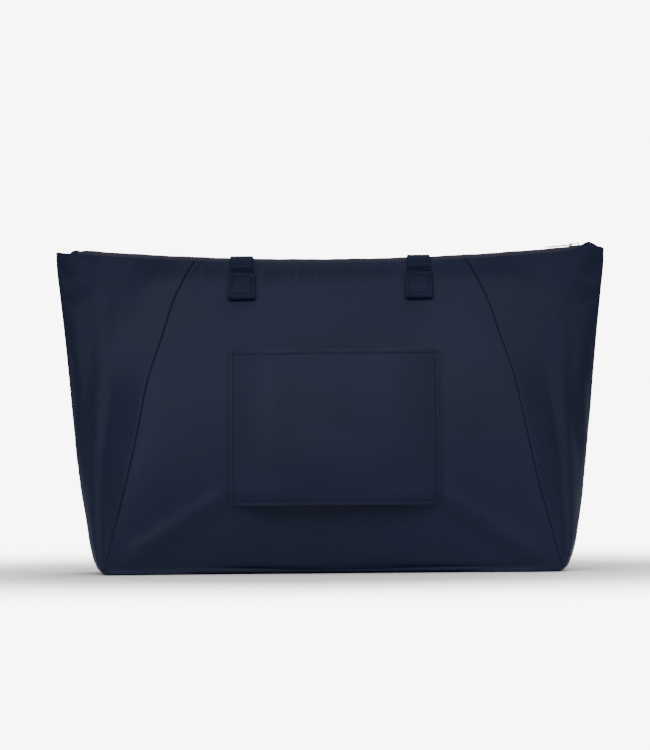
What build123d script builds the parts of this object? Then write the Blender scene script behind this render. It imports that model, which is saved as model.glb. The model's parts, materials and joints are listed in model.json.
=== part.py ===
from build123d import *
from math import asin, cos, degrees, pi, radians, sin, sqrt
import os

# Foldable zip-top tote bag with a trolley sleeve on its back.
# Millimetres. +Z up, +X to the right seen from the back, -Y towards the back (sleeve) side.
# The origin is the centre of the underside of the base.

# ---------------------------------------------------------------- driving dimensions
TOP_WIDTH = 490.0
END_HEIGHT = 287.0
MIDDLE_HEIGHT = 275.0
FABRIC = 1.6
GAP = 0.3
SEAM_ROOM = 0.15

# The bag's section at each height: height, seam half width, crease half width, half depth of the
# walls, and the cheek of the end panel (half width and half depth) between seam and crease.
STATIONS = [
    (0.0, 203.5, 207.5, 70.0, 206.5, 36.0),
    (12.0, 201.0, 213.5, 76.0, 210.0, 44.0),
    (42.0, 194.5, 219.0, 81.0, 212.0, 46.0),
    (84.0, 184.0, 224.5, 81.0, 213.0, 42.0),
    (136.0, 172.0, 231.0, 70.0, 213.0, 33.0),
    (176.0, 162.5, 234.5, 56.0, 215.0, 24.0),
    (213.0, 149.0, 238.0, 38.0, 220.0, 16.0),
    (250.0, 135.0, 242.0, 21.0, 229.0, 10.5),
    (274.0, 122.5, 244.5, 9.3, 236.0, 8.2),
    (292.0, 112.0, 245.0, 9.0, 237.0, 8.0),
]

# The top line is a shallow arc that sags between the two end corners.
SAG = END_HEIGHT - MIDDLE_HEIGHT
ARC_RADIUS = ((TOP_WIDTH / 2) ** 2 + SAG**2) / (2 * SAG)
ARC_CENTRE_Z = MIDDLE_HEIGHT + ARC_RADIUS
ARC_AXIS = Axis((0, 0, ARC_CENTRE_Z), (0, 1, 0))

# Zip along the top line.
ZIP_HALF_LENGTH = 226.0
TAPE = 0.7
COIL_LIFT = 2.2
COIL_HEIGHT = 2.2
COIL_INNER = 0.45
COIL_OUTER = 2.1
TAPE_EDGE = 5.8
TAPE_DROP = 0.7
COIL_END_ROOM = 4.0
SLIDER_LENGTH = 11.0
SLIDER_HALF_WIDTH = 3.9
SLIDER_REST_X = 219.0
PLATE = 0.9
CHANNEL = 1.5
PULL_LENGTH = 24.0
PULL_WIDTH = 6.0
PULL_THICK = 1.0
BRIDGE_HEIGHT = 2.3
BRIDGE_LENGTH = 8.0
BRIDGE_WIDTH = 2.0
BRIDGE_WALL = 0.8
WEB = 0.4
LIP = 0.8
PULL_PIN_SHIFT = 1.0 + BRIDGE_WALL - BRIDGE_LENGTH / 2
PULL_HEIGHT = CHANNEL + PLATE + 0.75
END_TAB_LENGTH = 7.4
END_TAB_HALF = 3.2
END_TAB_DROP = 8.0
END_TAB_LIP = 1.5

# Seams, hems and bindings.
BINDING = 1.2
BINDING_HALF = 5.0
BINDING_ROOM = 0.5
HEM_DEPTH = 14.0
SEAM_LOW = 6.0

# Trolley sleeve on the back wall.
SLEEVE_X = 2.5
SLEEVE_HALF = 95.0
SLEEVE_BOTTOM = 60.0
SLEEVE_TOP = 198.0
SLEEVE_BULGE = 17.0
SLEEVE_PLATEAU = 58.0
SLEEVE_THICK = 1.4
SLEEVE_SEWN = 4.0
SLEEVE_TURN = 0.6

# Handles: flat webbing.
STRAP_WIDTH = 20.5
STRAP = 1.6
LEG_X = 79.0
TAB_WIDTH = 23.5
TAB_TOP = 266.0
TAB_BOTTOM = 243.0
TAB_THICK = 3.2
TAB_KNEE = 250.0

# Inner hanging zip pocket on the back wall.
POCKET_HALF = 100.0
POCKET_TOP = 262.0
POCKET_BOTTOM = 152.0
POCKET_Y = -11.0
POCKET_DEPTH = 7.0
POCKET_SHEET = 0.8
POCKET_ZIP_Z = 236.0
POCKET_ZIP_HALF = 84.0
POCKET_ZIP_SIZE = 0.7
POCKET_ZIP_DEPTH = 1.3
POCKET_TAPE = 0.6
POCKET_TAPE_WIDTH = 16.0
POCKET_TAPE_ENDS = 8.0
POCKET_SLOT = 7.0
POCKET_PULL_LENGTH = 11.0


# ---------------------------------------------------------------- shared geometry
def station(z):
    """The bag's section at any height, between the two nearest stations."""
    for low, high in zip(STATIONS, STATIONS[1:]):
        if z <= high[0]:
            share = (z - low[0]) / (high[0] - low[0])
            return [a + share * (b - a) for a, b in zip(low, high)]
    return list(STATIONS[-1])


def half_depth(z):
    return station(z)[3]


def top_line(x):
    """Height of the bag's top edge at a place along it."""
    return ARC_CENTRE_Z - sqrt(ARC_RADIUS**2 - x**2)


def corner(at, before, after, inset):
    """A corner of an outline moved inwards by inset, between the outward directions beside it."""
    return at - (before + after) * (inset / (1 + before.dot(after)))


def outward_of(start, end):
    """The outward direction of an edge that runs from the wall round to the crease."""
    along = (end - start).normalized()
    return Vector(-along.Y, along.X)


def bag_section(z, inset):
    """The closed outline of the bag at one height, moved inwards by inset."""
    seam_x, crease_x, depth, cheek_x, cheek_y = station(z)[1:]
    seam_at = Vector(seam_x, depth)
    cheek_at = Vector(cheek_x, cheek_y)
    crease_at = Vector(crease_x, 0)
    wall_out = Vector(0, 1)
    cheek_out = outward_of(seam_at, cheek_at)
    crease_out = outward_of(cheek_at, crease_at)
    seam = corner(seam_at, wall_out, cheek_out, inset)
    cheek = corner(cheek_at, cheek_out, crease_out, inset)
    crease = (crease_x - inset / crease_out.X, 0)
    with BuildSketch(Plane.XY.offset(z)) as section:
        with BuildLine():
            Polyline(
                (-seam.X, -seam.Y),
                (seam.X, -seam.Y),
                (cheek.X, -cheek.Y),
                crease,
                (cheek.X, cheek.Y),
                (seam.X, seam.Y),
                (-seam.X, seam.Y),
                (-cheek.X, cheek.Y),
                (-crease[0], 0),
                (-cheek.X, -cheek.Y),
                close=True,
            )
        make_face()
    return section.sketch


def bag_layer(outer, inner):
    """The open-ended wall of the bag between two insets from its outside."""
    with BuildPart() as layer:
        loft([bag_section(row[0], outer) for row in STATIONS], ruled=True)
        loft([bag_section(row[0], inner) for row in STATIONS], ruled=True, mode=Mode.SUBTRACT)
    return layer.part


def between_seams(room, drop):
    """A block that holds what lies between the two seams and under the top line less drop."""
    with BuildPart() as block:
        with BuildSketch(Plane.XZ):
            with BuildLine():
                right = [(row[1] - room, row[0]) for row in STATIONS]
                left = [(-x, z) for x, z in reversed(right)]
                Polyline(*right, *left, close=True)
            make_face()
        extrude(amount=120, both=True)
        extrude(under_top_line(drop), amount=130, both=True, mode=Mode.INTERSECT)
    return block.part


def under_top_line(drop):
    """The upright face under the sagging top line, less drop."""
    half = TOP_WIDTH / 2 + 10
    with BuildSketch(Plane.XZ) as face:
        with BuildLine():
            ThreePointArc(
                (-half, top_line(half) - drop), (0, MIDDLE_HEIGHT - drop), (half, top_line(half) - drop)
            )
            Line((half, top_line(half) - drop), (half, -10))
            Line((half, -10), (-half, -10))
            Line((-half, -10), (-half, top_line(half) - drop))
        make_face()
    return face.sketch


def keep_side(y_low, y_high, z_low=-1.0, z_high=300.0):
    """Keep only what lies between two depths and two heights."""
    with Locations((0, (y_low + y_high) / 2, (z_low + z_high) / 2)):
        Box(600, y_high - y_low, z_high - z_low, mode=Mode.INTERSECT)


def save(builder, name):
    builder.part.label = name
    export_step(builder.part, f"parts/{name}.step")


def arc_angle(x):
    """Angle about the top line's axis from the middle to a place along it."""
    return degrees(asin(x / ARC_RADIUS))


os.makedirs("parts", exist_ok=True)
WALL_LAYER = bag_layer(0, FABRIC)
BINDING_LAYER = bag_layer(FABRIC + GAP, FABRIC + GAP + BINDING)
HEM_LAYER = bag_layer(FABRIC, FABRIC + BINDING)

# ---------------------------------------------------------------- walls and base
for name, y_low, y_high in (("back_panel", -120, 0), ("front_panel", 0, 120)):
    with BuildPart() as panel:
        add(WALL_LAYER)
        add(between_seams(SEAM_ROOM, 0), mode=Mode.INTERSECT)
        keep_side(y_low, y_high)
    save(panel, name)

for name, side in (("left_end_panel", -1), ("right_end_panel", 1)):
    with BuildPart() as end_panel:
        add(WALL_LAYER)
        extrude(under_top_line(0), amount=130, both=True, mode=Mode.INTERSECT)
        add(between_seams(-SEAM_ROOM, -30), mode=Mode.SUBTRACT)
        with Locations((side * 200, 0, 150)):
            Box(400, 300, 400, mode=Mode.INTERSECT)
    save(end_panel, name)

BASE_HALF_X = station(0)[1] - FABRIC - GAP
BASE_HALF_Y = half_depth(0) - FABRIC - GAP
with BuildPart() as base_panel:
    with BuildSketch():
        Rectangle(2 * BASE_HALF_X, 2 * BASE_HALF_Y)
    extrude(amount=FABRIC)
save(base_panel, "base_panel")

# ---------------------------------------------------------------- bindings and hems
for name, side, y_low, y_high in (
    ("back_left_binding", -1, -120, 0),
    ("back_right_binding", 1, -120, 0),
    ("front_left_binding", -1, 0, 120),
    ("front_right_binding", 1, 0, 120),
):
    with BuildPart() as binding:
        add(BINDING_LAYER)
        add(between_seams(BINDING_ROOM, HEM_DEPTH + 2), mode=Mode.INTERSECT)
        add(between_seams(BINDING_ROOM + 2 * BINDING_HALF, -30), mode=Mode.SUBTRACT)
        keep_side(y_low, y_high, z_low=SEAM_LOW)
        with Locations((side * 200, 0, 150)):
            Box(400, 300, 400, mode=Mode.INTERSECT)
    save(binding, name)

with BuildPart() as base_binding:
    with BuildSketch(Plane.XY.offset(FABRIC)):
        outer_x = 2 * (BASE_HALF_X - 1)
        outer_y = 2 * (BASE_HALF_Y - 1)
        Rectangle(outer_x, outer_y)
        Rectangle(outer_x - 2 * BINDING_HALF, outer_y - 2 * BINDING_HALF, mode=Mode.SUBTRACT)
    extrude(amount=BINDING)
save(base_binding, "base_binding")

for name, y_low, y_high in (("back_hem", -120, 0), ("front_hem", 0, 120)):
    with BuildPart() as hem:
        add(HEM_LAYER)
        add(between_seams(1, COIL_LIFT), mode=Mode.INTERSECT)
        add(between_seams(-30, HEM_DEPTH), mode=Mode.SUBTRACT)
        keep_side(y_low, y_high)
    save(hem, name)

# ---------------------------------------------------------------- top zip
COIL_MIDDLE = MIDDLE_HEIGHT + COIL_LIFT
for word, side in (("back", -1), ("front", 1)):
    with BuildPart() as tape:
        with BuildSketch(Plane.YZ):
            with BuildLine():
                Polyline(
                    (side * (COIL_OUTER + 0.1), COIL_MIDDLE + TAPE / 2),
                    (side * TAPE_EDGE, COIL_MIDDLE - TAPE_DROP),
                    (side * TAPE_EDGE, COIL_MIDDLE - TAPE_DROP - TAPE),
                    (side * (COIL_OUTER + 0.1), COIL_MIDDLE - TAPE / 2),
                    close=True,
                )
            make_face()
        revolve(axis=ARC_AXIS, revolution_arc=arc_angle(ZIP_HALF_LENGTH))
        mirror(about=Plane.YZ)
    save(tape, f"zip_tape_{word}")
    with BuildPart() as coil:
        with BuildSketch(Plane.YZ):
            with Locations((side * (COIL_INNER + COIL_OUTER) / 2, COIL_MIDDLE)):
                Rectangle(COIL_OUTER - COIL_INNER, COIL_HEIGHT)
        revolve(axis=ARC_AXIS, revolution_arc=arc_angle(ZIP_HALF_LENGTH - COIL_END_ROOM))
        mirror(about=Plane.YZ)
    save(coil, f"zip_coil_{word}")

# A slider has a plate above and below the coils, a thin web between them and a bridge on top.
# Its frame: along runs with the zip towards its closed end, outward leaves the bag.
def slider_solid(at, along, outward, size):
    """A slider at a place on the middle line of the coils. size scales the large slider."""
    across = outward.cross(along)
    middle = (CHANNEL + PLATE / 2) * size
    half = (SLIDER_HALF_WIDTH - LIP / 2) * size

    def cut(shift):
        return Plane(origin=at + along * shift * size, x_dir=across, z_dir=along)

    with BuildPart() as slider:
        with BuildSketch(cut(-SLIDER_LENGTH / 2)):
            with Locations((0, middle), (0, -middle)):
                Rectangle(2 * SLIDER_HALF_WIDTH * size, PLATE * size)
            Rectangle(WEB * size, 2 * middle)
            for side in (-1, 1):
                with Locations((side * half, middle - 0.6 * size)):
                    Rectangle(LIP * size, 1.2 * size)
                with Locations((side * half, -middle + 0.4 * size)):
                    Rectangle(LIP * size, 0.8 * size)
        extrude(amount=SLIDER_LENGTH * size)
        with BuildSketch(cut(-BRIDGE_LENGTH / 2)):
            with Locations((0, middle + (PLATE + BRIDGE_HEIGHT) / 2 * size)):
                Rectangle(BRIDGE_WIDTH * size, BRIDGE_HEIGHT * size)
        extrude(amount=BRIDGE_LENGTH * size)
        with BuildSketch(cut(-BRIDGE_LENGTH / 2 + BRIDGE_WALL)):
            with Locations((0, middle + (PLATE + BRIDGE_HEIGHT - BRIDGE_WALL) / 2 * size)):
                Rectangle((BRIDGE_WIDTH + 1) * size, (BRIDGE_HEIGHT - BRIDGE_WALL) * size)
        extrude(amount=(BRIDGE_LENGTH - 2 * BRIDGE_WALL) * size, mode=Mode.SUBTRACT)
    return slider.part


def pull_solid(at, along, outward, size, length):
    """A pull that lies back along the closed zip, with its eye round the slider's bridge."""
    middle = PULL_PIN_SHIFT * size - length / 2 + 0.5 * size
    hole = PULL_PIN_SHIFT * size - length + 4 * size
    plane = Plane(
        origin=at + outward * (PULL_HEIGHT - PULL_THICK / 2) * size, x_dir=along, z_dir=outward
    )
    with BuildPart() as pull:
        with BuildSketch(plane):
            with Locations((middle, 0)):
                RectangleRounded(length, PULL_WIDTH * size, 2.0 * size)
            with Locations(((PULL_PIN_SHIFT - 1.9) * size, 0)):
                RectangleRounded(2.8 * size, (BRIDGE_WIDTH + 0.7) * size, 0.6 * size, mode=Mode.SUBTRACT)
            with Locations((hole, 0)):
                Circle(1.4 * size, mode=Mode.SUBTRACT)
        extrude(amount=PULL_THICK * size)
    return pull.part


# The top zip's slider stands at the closed (right) end of the sagging top line.
REST = radians(arc_angle(SLIDER_REST_X))
ALONG = Vector(cos(REST), 0, sin(REST))
OUTWARD = Vector(-sin(REST), 0, cos(REST))
SLIDER_AT = Vector(0, 0, ARC_CENTRE_Z) - OUTWARD * (ARC_RADIUS - COIL_LIFT)

with BuildPart() as zip_slider:
    add(slider_solid(SLIDER_AT, ALONG, OUTWARD, 1.0))
save(zip_slider, "zip_slider")

with BuildPart() as zip_pull:
    add(pull_solid(SLIDER_AT, ALONG, OUTWARD, 1.0, PULL_LENGTH))
save(zip_pull, "zip_pull")

# Folded ends of the tapes close the zip at both ends, between the coils and the bag's corners.
with BuildPart() as zip_end_tabs:
    for side in (-1, 1):
        with BuildSketch(Plane.XZ) as tab_side:
            with BuildLine():
                x_in = ZIP_HALF_LENGTH + 2 * GAP
                x_out = x_in + END_TAB_LENGTH
                Polyline(
                    (side * x_in, top_line(x_in) + 0.2),
                    (side * x_in, top_line(x_in) + COIL_LIFT + 1.4),
                    (side * x_out, top_line(x_out) + 1.6),
                    (side * x_out, top_line(x_out) - END_TAB_DROP),
                    (side * (x_out - END_TAB_LIP), top_line(x_out) - END_TAB_DROP),
                    (side * (x_out - END_TAB_LIP), top_line(x_out) + 0.2),
                    close=True,
                )
            make_face()
        extrude(amount=END_TAB_HALF, both=True)
save(zip_end_tabs, "zip_end_tabs")

# ---------------------------------------------------------------- trolley sleeve
SLEEVE_LEVELS = [SLEEVE_BOTTOM, 84.0, 110.0, 136.0, 176.0, SLEEVE_TOP]


def sleeve_section(z):
    """The sleeve at one height: sewn down at both sides and standing off between them."""
    wall = -half_depth(z) - GAP
    edge = SLEEVE_HALF
    flat = SLEEVE_PLATEAU
    with BuildSketch(Plane.XY.offset(z)) as section:
        with BuildLine():
            Polyline(
                (SLEEVE_X - edge, wall),
                (SLEEVE_X - edge, wall - SLEEVE_THICK),
                (SLEEVE_X - flat, wall - SLEEVE_BULGE),
                (SLEEVE_X + flat, wall - SLEEVE_BULGE),
                (SLEEVE_X + edge, wall - SLEEVE_THICK),
                (SLEEVE_X + edge, wall),
                (SLEEVE_X + edge - SLEEVE_SEWN, wall),
                (SLEEVE_X + flat - SLEEVE_TURN, wall - SLEEVE_BULGE + SLEEVE_THICK),
                (SLEEVE_X - flat + SLEEVE_TURN, wall - SLEEVE_BULGE + SLEEVE_THICK),
                (SLEEVE_X - edge + SLEEVE_SEWN, wall),
                close=True,
            )
        make_face()
    return section.sketch


with BuildPart() as trolley_sleeve:
    loft([sleeve_section(z) for z in SLEEVE_LEVELS], ruled=True)
save(trolley_sleeve, "trolley_sleeve")

# ---------------------------------------------------------------- handle tabs
# Webbing tails folded double and sewn flat on the walls below the mouth.
for name, side in (("back_handle_tabs", -1), ("front_handle_tabs", 1)):
    with BuildPart() as tabs:
        with BuildSketch(Plane.YZ):
            with BuildLine():
                low = side * (half_depth(TAB_BOTTOM) + GAP)
                knee = side * (half_depth(TAB_KNEE) + GAP)
                high = side * (half_depth(TAB_TOP) + GAP)
                out = side * TAB_THICK
                Polyline(
                    (low, TAB_BOTTOM),
                    (knee, TAB_KNEE),
                    (high, TAB_TOP),
                    (high + out * 0.85, TAB_TOP),
                    (knee + out, TAB_KNEE + 1),
                    (low + out, TAB_BOTTOM),
                    close=True,
                )
            make_face()
        extrude(amount=TAB_WIDTH / 2, both=True)
        tab = tabs.part
        with Locations((LEG_X, 0, 0)):
            add(tab)
        with Locations((-LEG_X, 0, 0)):
            add(tab)
        with Locations((0, side * 30, TAB_KNEE)):
            Box(2 * TAB_WIDTH, 60, 60, mode=Mode.SUBTRACT)
    save(tabs, name)

# ---------------------------------------------------------------- handles
# Both handles hang down the front wall. A handle's centre line runs down one leg, round the
# bottom of the loop and up the other leg. Down the wall it first goes straight along the slope
# and then round the belly, and the webbing turns edge-on through the lower part of each leg.
WALL_SLOPE = radians(25.5)
STRAIGHT_RUN = 112.0
BELLY_RADIUS = 300.0
START_Y = 9.0
START_Z = 276.0


def down_the_wall(run, lift):
    """The point a distance down the front wall and lifted off it, with the directions there."""
    turned = max(0.0, run - STRAIGHT_RUN) / BELLY_RADIUS
    straight = min(run, STRAIGHT_RUN)
    slope = WALL_SLOPE - turned
    y = START_Y + straight * sin(WALL_SLOPE) + BELLY_RADIUS * (cos(slope) - cos(WALL_SLOPE))
    z = START_Z - straight * cos(WALL_SLOPE) - BELLY_RADIUS * (sin(WALL_SLOPE) - sin(slope))
    outward = Vector(0, cos(slope), sin(slope))
    downward = Vector(0, sin(slope), -cos(slope))
    return Vector(0, y, z) + outward * lift, downward, outward


def strap_section(x, run, lift, heading, turn):
    """A cut across the webbing. heading is the way it runs on the wall, from straight down."""
    point, downward, outward = down_the_wall(run, lift)
    sideways = Vector(1, 0, 0)
    forward = downward * cos(heading) - sideways * sin(heading)
    across = sideways * cos(heading) + downward * sin(heading)
    wide = across * cos(turn) + outward * sin(turn)
    with BuildSketch(Plane(origin=point + sideways * x, x_dir=wide, z_dir=forward)) as section:
        Rectangle(STRAP_WIDTH, STRAP)
    return section.sketch


def handle_loop(top_run, twist_from, twist_to, loop_half, flat_lift, edge_lift):
    """Half of a handle from the top of its right leg to the middle of the loop, then mirrored."""
    cuts = [strap_section(LEG_X, top_run, flat_lift, 0, 0)]
    if STRAIGHT_RUN > twist_from + 5:
        cuts.append(strap_section(LEG_X, (top_run + twist_from) / 2, flat_lift, 0, 0))
    steps = 6
    for step in range(steps + 1):
        share = step / steps
        ease = share * share * (3 - 2 * share)
        lift = flat_lift + (edge_lift - flat_lift) * min(1.0, 1.6 * ease)
        x = LEG_X + (loop_half - LEG_X) * ease
        run = twist_from + (twist_to - twist_from) * share
        cuts.append(strap_section(x, run, lift, 0, ease * pi / 2))
    bends = 6
    for bend in range(1, bends + 1):
        angle = bend / bends * pi / 2
        x = loop_half * cos(angle)
        run = twist_to + loop_half * sin(angle)
        cuts.append(strap_section(x, run, edge_lift, angle, pi / 2))
    with BuildPart() as loop:
        loft(cuts, ruled=True)
        mirror(about=Plane.YZ)
    return loop.part


with BuildPart() as front_handle:
    add(handle_loop(10.0, 96.0, 146.0, 76.0, 5.2, 10.0))
save(front_handle, "front_handle")

with BuildPart() as back_handle:
    add(handle_loop(10.0, 52.0, 104.0, 62.0, 8.4, 12.5))
save(back_handle, "back_handle")

# The webbing above each loop, where it bends: over its own tab at the front, and right across
# the closed mouth from the tabs at the back.
CROSSING_LOW = MIDDLE_HEIGHT + 6.4


def webbing_turn(points, radius):
    """A strip of webbing along a bent line in the YZ plane, for both legs."""
    with BuildPart() as turns:
        with BuildLine(Plane.YZ) as route:
            FilletPolyline(*points, radius=radius)
        with BuildSketch(Plane(origin=(0, *points[0]), z_dir=route.line % 0, x_dir=(1, 0, 0))):
            Rectangle(STRAP_WIDTH, STRAP)
        sweep(path=route.line)
        strip = turns.part
        with Locations((LEG_X, 0, 0)):
            add(strip)
        with Locations((-LEG_X, 0, 0)):
            add(strip)
        with Locations((0, 0, 270)):
            Box(60, 80, 80, mode=Mode.SUBTRACT)
    return turns.part


leg_start = down_the_wall(10.0 - GAP, 5.2)[0]
leg_above = down_the_wall(1.5, 5.2)[0]
tab_centre = half_depth(TAB_TOP) + GAP + TAB_THICK / 2
with BuildPart() as front_handle_turns:
    add(
        webbing_turn(
            [
                (tab_centre - 0.6, TAB_TOP + GAP),
                (tab_centre - 2.4, TAB_TOP + 12.2),
                (leg_above.Y + 0.6, TAB_TOP + 12.2),
                (leg_start.Y, leg_start.Z),
            ],
            1.1,
        )
    )
save(front_handle_turns, "front_handle_turns")

over_start = down_the_wall(10.0 - GAP, 8.4)[0]
with BuildPart() as back_handle_turns:
    add(
        webbing_turn(
            [
                (-tab_centre + 0.6, TAB_TOP + GAP),
                (-tab_centre + 3.4, CROSSING_LOW),
                (over_start.Y - 4.2, CROSSING_LOW),
                (over_start.Y, over_start.Z),
            ],
            2.5,
        )
    )
save(back_handle_turns, "back_handle_turns")

# ---------------------------------------------------------------- inner zip pocket
POCKET_MIDDLE_Z = (POCKET_TOP + POCKET_BOTTOM) / 2
POCKET_FRONT_Y = POCKET_Y + POCKET_SHEET + POCKET_DEPTH

with BuildPart() as pocket_back:
    with Locations((0, POCKET_Y + POCKET_SHEET / 2, POCKET_MIDDLE_Z)):
        Box(2 * POCKET_HALF, POCKET_SHEET, POCKET_TOP - POCKET_BOTTOM)
save(pocket_back, "pocket_back")

with BuildPart() as pocket_front:
    with Locations((0, POCKET_Y + POCKET_SHEET + POCKET_DEPTH / 2, POCKET_MIDDLE_Z)):
        Box(2 * POCKET_HALF, POCKET_DEPTH, POCKET_TOP - POCKET_BOTTOM)
        Box(
            2 * (POCKET_HALF - POCKET_SHEET),
            POCKET_DEPTH,
            POCKET_TOP - POCKET_BOTTOM - 2 * POCKET_SHEET,
            mode=Mode.SUBTRACT,
        )
    with Locations((0, POCKET_FRONT_Y - POCKET_SHEET / 2, POCKET_MIDDLE_Z)):
        Box(2 * POCKET_HALF, POCKET_SHEET, POCKET_TOP - POCKET_BOTTOM)
    with Locations((0, POCKET_FRONT_Y - POCKET_SHEET / 2, POCKET_ZIP_Z)):
        Box(2 * POCKET_ZIP_HALF, 3 * POCKET_SHEET, POCKET_SLOT, mode=Mode.SUBTRACT)
save(pocket_front, "pocket_front")

POCKET_ZIP_Y = POCKET_FRONT_Y - POCKET_ZIP_DEPTH
with BuildPart() as pocket_zip_tapes:
    with Locations((0, POCKET_ZIP_Y, POCKET_ZIP_Z)):
        Box(2 * POCKET_ZIP_HALF + POCKET_TAPE_ENDS, POCKET_TAPE, POCKET_TAPE_WIDTH)
        Box(2 * POCKET_ZIP_HALF, TAPE + 0.1, 2 * COIL_OUTER * POCKET_ZIP_SIZE + 0.2, mode=Mode.SUBTRACT)
save(pocket_zip_tapes, "pocket_zip_tapes")

with BuildPart() as pocket_zip_coils:
    for side in (-1, 1):
        coil_z = POCKET_ZIP_Z + side * (COIL_INNER + COIL_OUTER) / 2 * POCKET_ZIP_SIZE
        with Locations((0, POCKET_ZIP_Y, coil_z)):
            Box(
                2 * POCKET_ZIP_HALF,
                COIL_HEIGHT * POCKET_ZIP_SIZE,
                (COIL_OUTER - COIL_INNER) * POCKET_ZIP_SIZE,
            )
save(pocket_zip_coils, "pocket_zip_coils")

POCKET_SLIDER_AT = Vector(POCKET_ZIP_HALF - 5, POCKET_ZIP_Y, POCKET_ZIP_Z)
with BuildPart() as pocket_zip_slider:
    add(slider_solid(POCKET_SLIDER_AT, Vector(1, 0, 0), Vector(0, 1, 0), POCKET_ZIP_SIZE))
save(pocket_zip_slider, "pocket_zip_slider")

with BuildPart() as pocket_zip_pull:
    add(
        pull_solid(
            POCKET_SLIDER_AT, Vector(1, 0, 0), Vector(0, 1, 0), POCKET_ZIP_SIZE, POCKET_PULL_LENGTH
        )
    )
save(pocket_zip_pull, "pocket_zip_pull")
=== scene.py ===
import json
import math

import bpy
import numpy as np
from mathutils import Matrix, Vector
from mathutils.bvhtree import BVHTree


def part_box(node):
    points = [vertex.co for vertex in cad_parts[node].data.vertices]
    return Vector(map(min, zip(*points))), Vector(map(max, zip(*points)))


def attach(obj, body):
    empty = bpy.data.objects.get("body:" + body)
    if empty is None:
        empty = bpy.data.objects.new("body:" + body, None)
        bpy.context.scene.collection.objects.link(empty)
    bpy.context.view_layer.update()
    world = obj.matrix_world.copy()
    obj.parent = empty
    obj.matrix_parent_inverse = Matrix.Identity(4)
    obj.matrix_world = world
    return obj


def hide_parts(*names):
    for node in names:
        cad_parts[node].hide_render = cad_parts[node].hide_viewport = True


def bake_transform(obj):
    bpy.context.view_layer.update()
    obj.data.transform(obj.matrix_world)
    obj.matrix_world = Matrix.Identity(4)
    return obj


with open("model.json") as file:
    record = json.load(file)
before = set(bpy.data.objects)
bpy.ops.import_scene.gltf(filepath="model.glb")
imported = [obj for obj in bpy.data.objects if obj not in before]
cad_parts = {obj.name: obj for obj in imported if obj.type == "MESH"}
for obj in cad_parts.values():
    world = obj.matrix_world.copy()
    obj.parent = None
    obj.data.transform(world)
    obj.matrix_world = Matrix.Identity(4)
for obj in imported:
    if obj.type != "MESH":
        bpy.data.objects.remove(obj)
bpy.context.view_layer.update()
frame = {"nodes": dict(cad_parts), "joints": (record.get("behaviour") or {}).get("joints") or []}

MM = 0.001
LEFT_RIGHT = (("left", -1), ("right", 1))
BACK_FRONT = (("back", -1), ("front", 1))

# ------------------------------------------------------------------ the bag's outline
MOUTH_HALF, CORNER_HEIGHT = 245 * MM, 287 * MM
ZIP_JOINT = [j for j in frame["joints"] if j["name"] == "zip_travel"][0]
ARC_CENTRE_Z = ZIP_JOINT["pos_m"][2]
ARC_RADIUS = math.hypot(MOUTH_HALF, ARC_CENTRE_Z - CORNER_HEIGHT)

# The bag's section at each height, in millimetres: height, seam half width, crease half width,
# half depth of the walls, and the cheek of the end panel between seam and crease.
STATIONS = np.array(
    [
        (0, 204.5, 207.5, 70.0, 206.5, 36.0),
        (12, 201.5, 213.5, 76.0, 210.0, 44.0),
        (42, 194.5, 219.0, 81.0, 212.0, 46.0),
        (84, 184.0, 224.5, 81.0, 213.0, 42.0),
        (136, 172.0, 231.0, 70.0, 213.0, 33.0),
        (176, 162.5, 234.5, 56.0, 215.0, 24.0),
        (213, 149.0, 238.0, 38.0, 220.0, 16.0),
        (250, 135.0, 242.0, 21.0, 229.0, 10.5),
        (274, 122.5, 244.5, 9.3, 236.0, 8.2),
        (292, 112.0, 245.0, 9.0, 237.0, 8.0),
    ]
) * MM
SEAM, CREASE, DEPTH, CHEEK_X, CHEEK_Y = 1, 2, 3, 4, 5
SEAM_AT_MOUTH = 122.5  # millimetres from the middle, and as far again to the mouth's corner


def through(z, column):
    """A smooth curve through the stations' values in one column, at the heights z."""
    zs = STATIONS[:, 0]
    values = STATIONS[:, column]
    slopes = np.gradient(values, zs)
    i = np.clip(np.searchsorted(zs, z) - 1, 0, len(zs) - 2)
    h = zs[i + 1] - zs[i]
    t = (z - zs[i]) / h
    low = (1 + 2 * t) * (1 - t) ** 2 * values[i] + t * (1 - t) ** 2 * h * slopes[i]
    high = t * t * (3 - 2 * t) * values[i + 1] + t * t * (t - 1) * h * slopes[i + 1]
    return low + high


def top_line(x):
    return ARC_CENTRE_Z - np.sqrt(ARC_RADIUS**2 - np.square(x))


def ease(t):
    t = np.clip(t, 0.0, 1.0)
    return t * t * (3 - 2 * t)


def hump(value, at, reach):
    """1 at a place, falling smoothly to 0 about twice reach away."""
    return np.exp(-(((value - at) / reach) ** 2))


def unit(vectors):
    """Vectors along the last axis, each made one long."""
    vectors = np.asarray(vectors, float)
    return vectors / np.maximum(np.linalg.norm(vectors, axis=-1, keepdims=True), 1e-12)


def run_along(points):
    """The distance along a line to each of its points."""
    return np.concatenate([[0], np.cumsum(np.linalg.norm(np.diff(points, axis=0), axis=1))])


# ------------------------------------------------------------------ small mesh helpers
def new_object(name, verts, faces, uvs=None):
    """A smooth mesh object. uvs holds one pair for each point, in metres of cloth."""
    mesh = bpy.data.meshes.new(name)
    mesh.from_pydata([tuple(map(float, v)) for v in verts], [], [tuple(map(int, f)) for f in faces])
    if uvs is not None:
        layer = mesh.uv_layers.new(name="flat")
        loops = np.empty(len(mesh.loops), int)
        mesh.loops.foreach_get("vertex_index", loops)
        layer.data.foreach_set("uv", np.asarray(uvs, float)[loops].astype(np.float32).ravel())
    mesh.polygons.foreach_set("use_smooth", [True] * len(mesh.polygons))
    mesh.update()
    obj = bpy.data.objects.new(name, mesh)
    bpy.context.scene.collection.objects.link(obj)
    return obj


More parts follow.
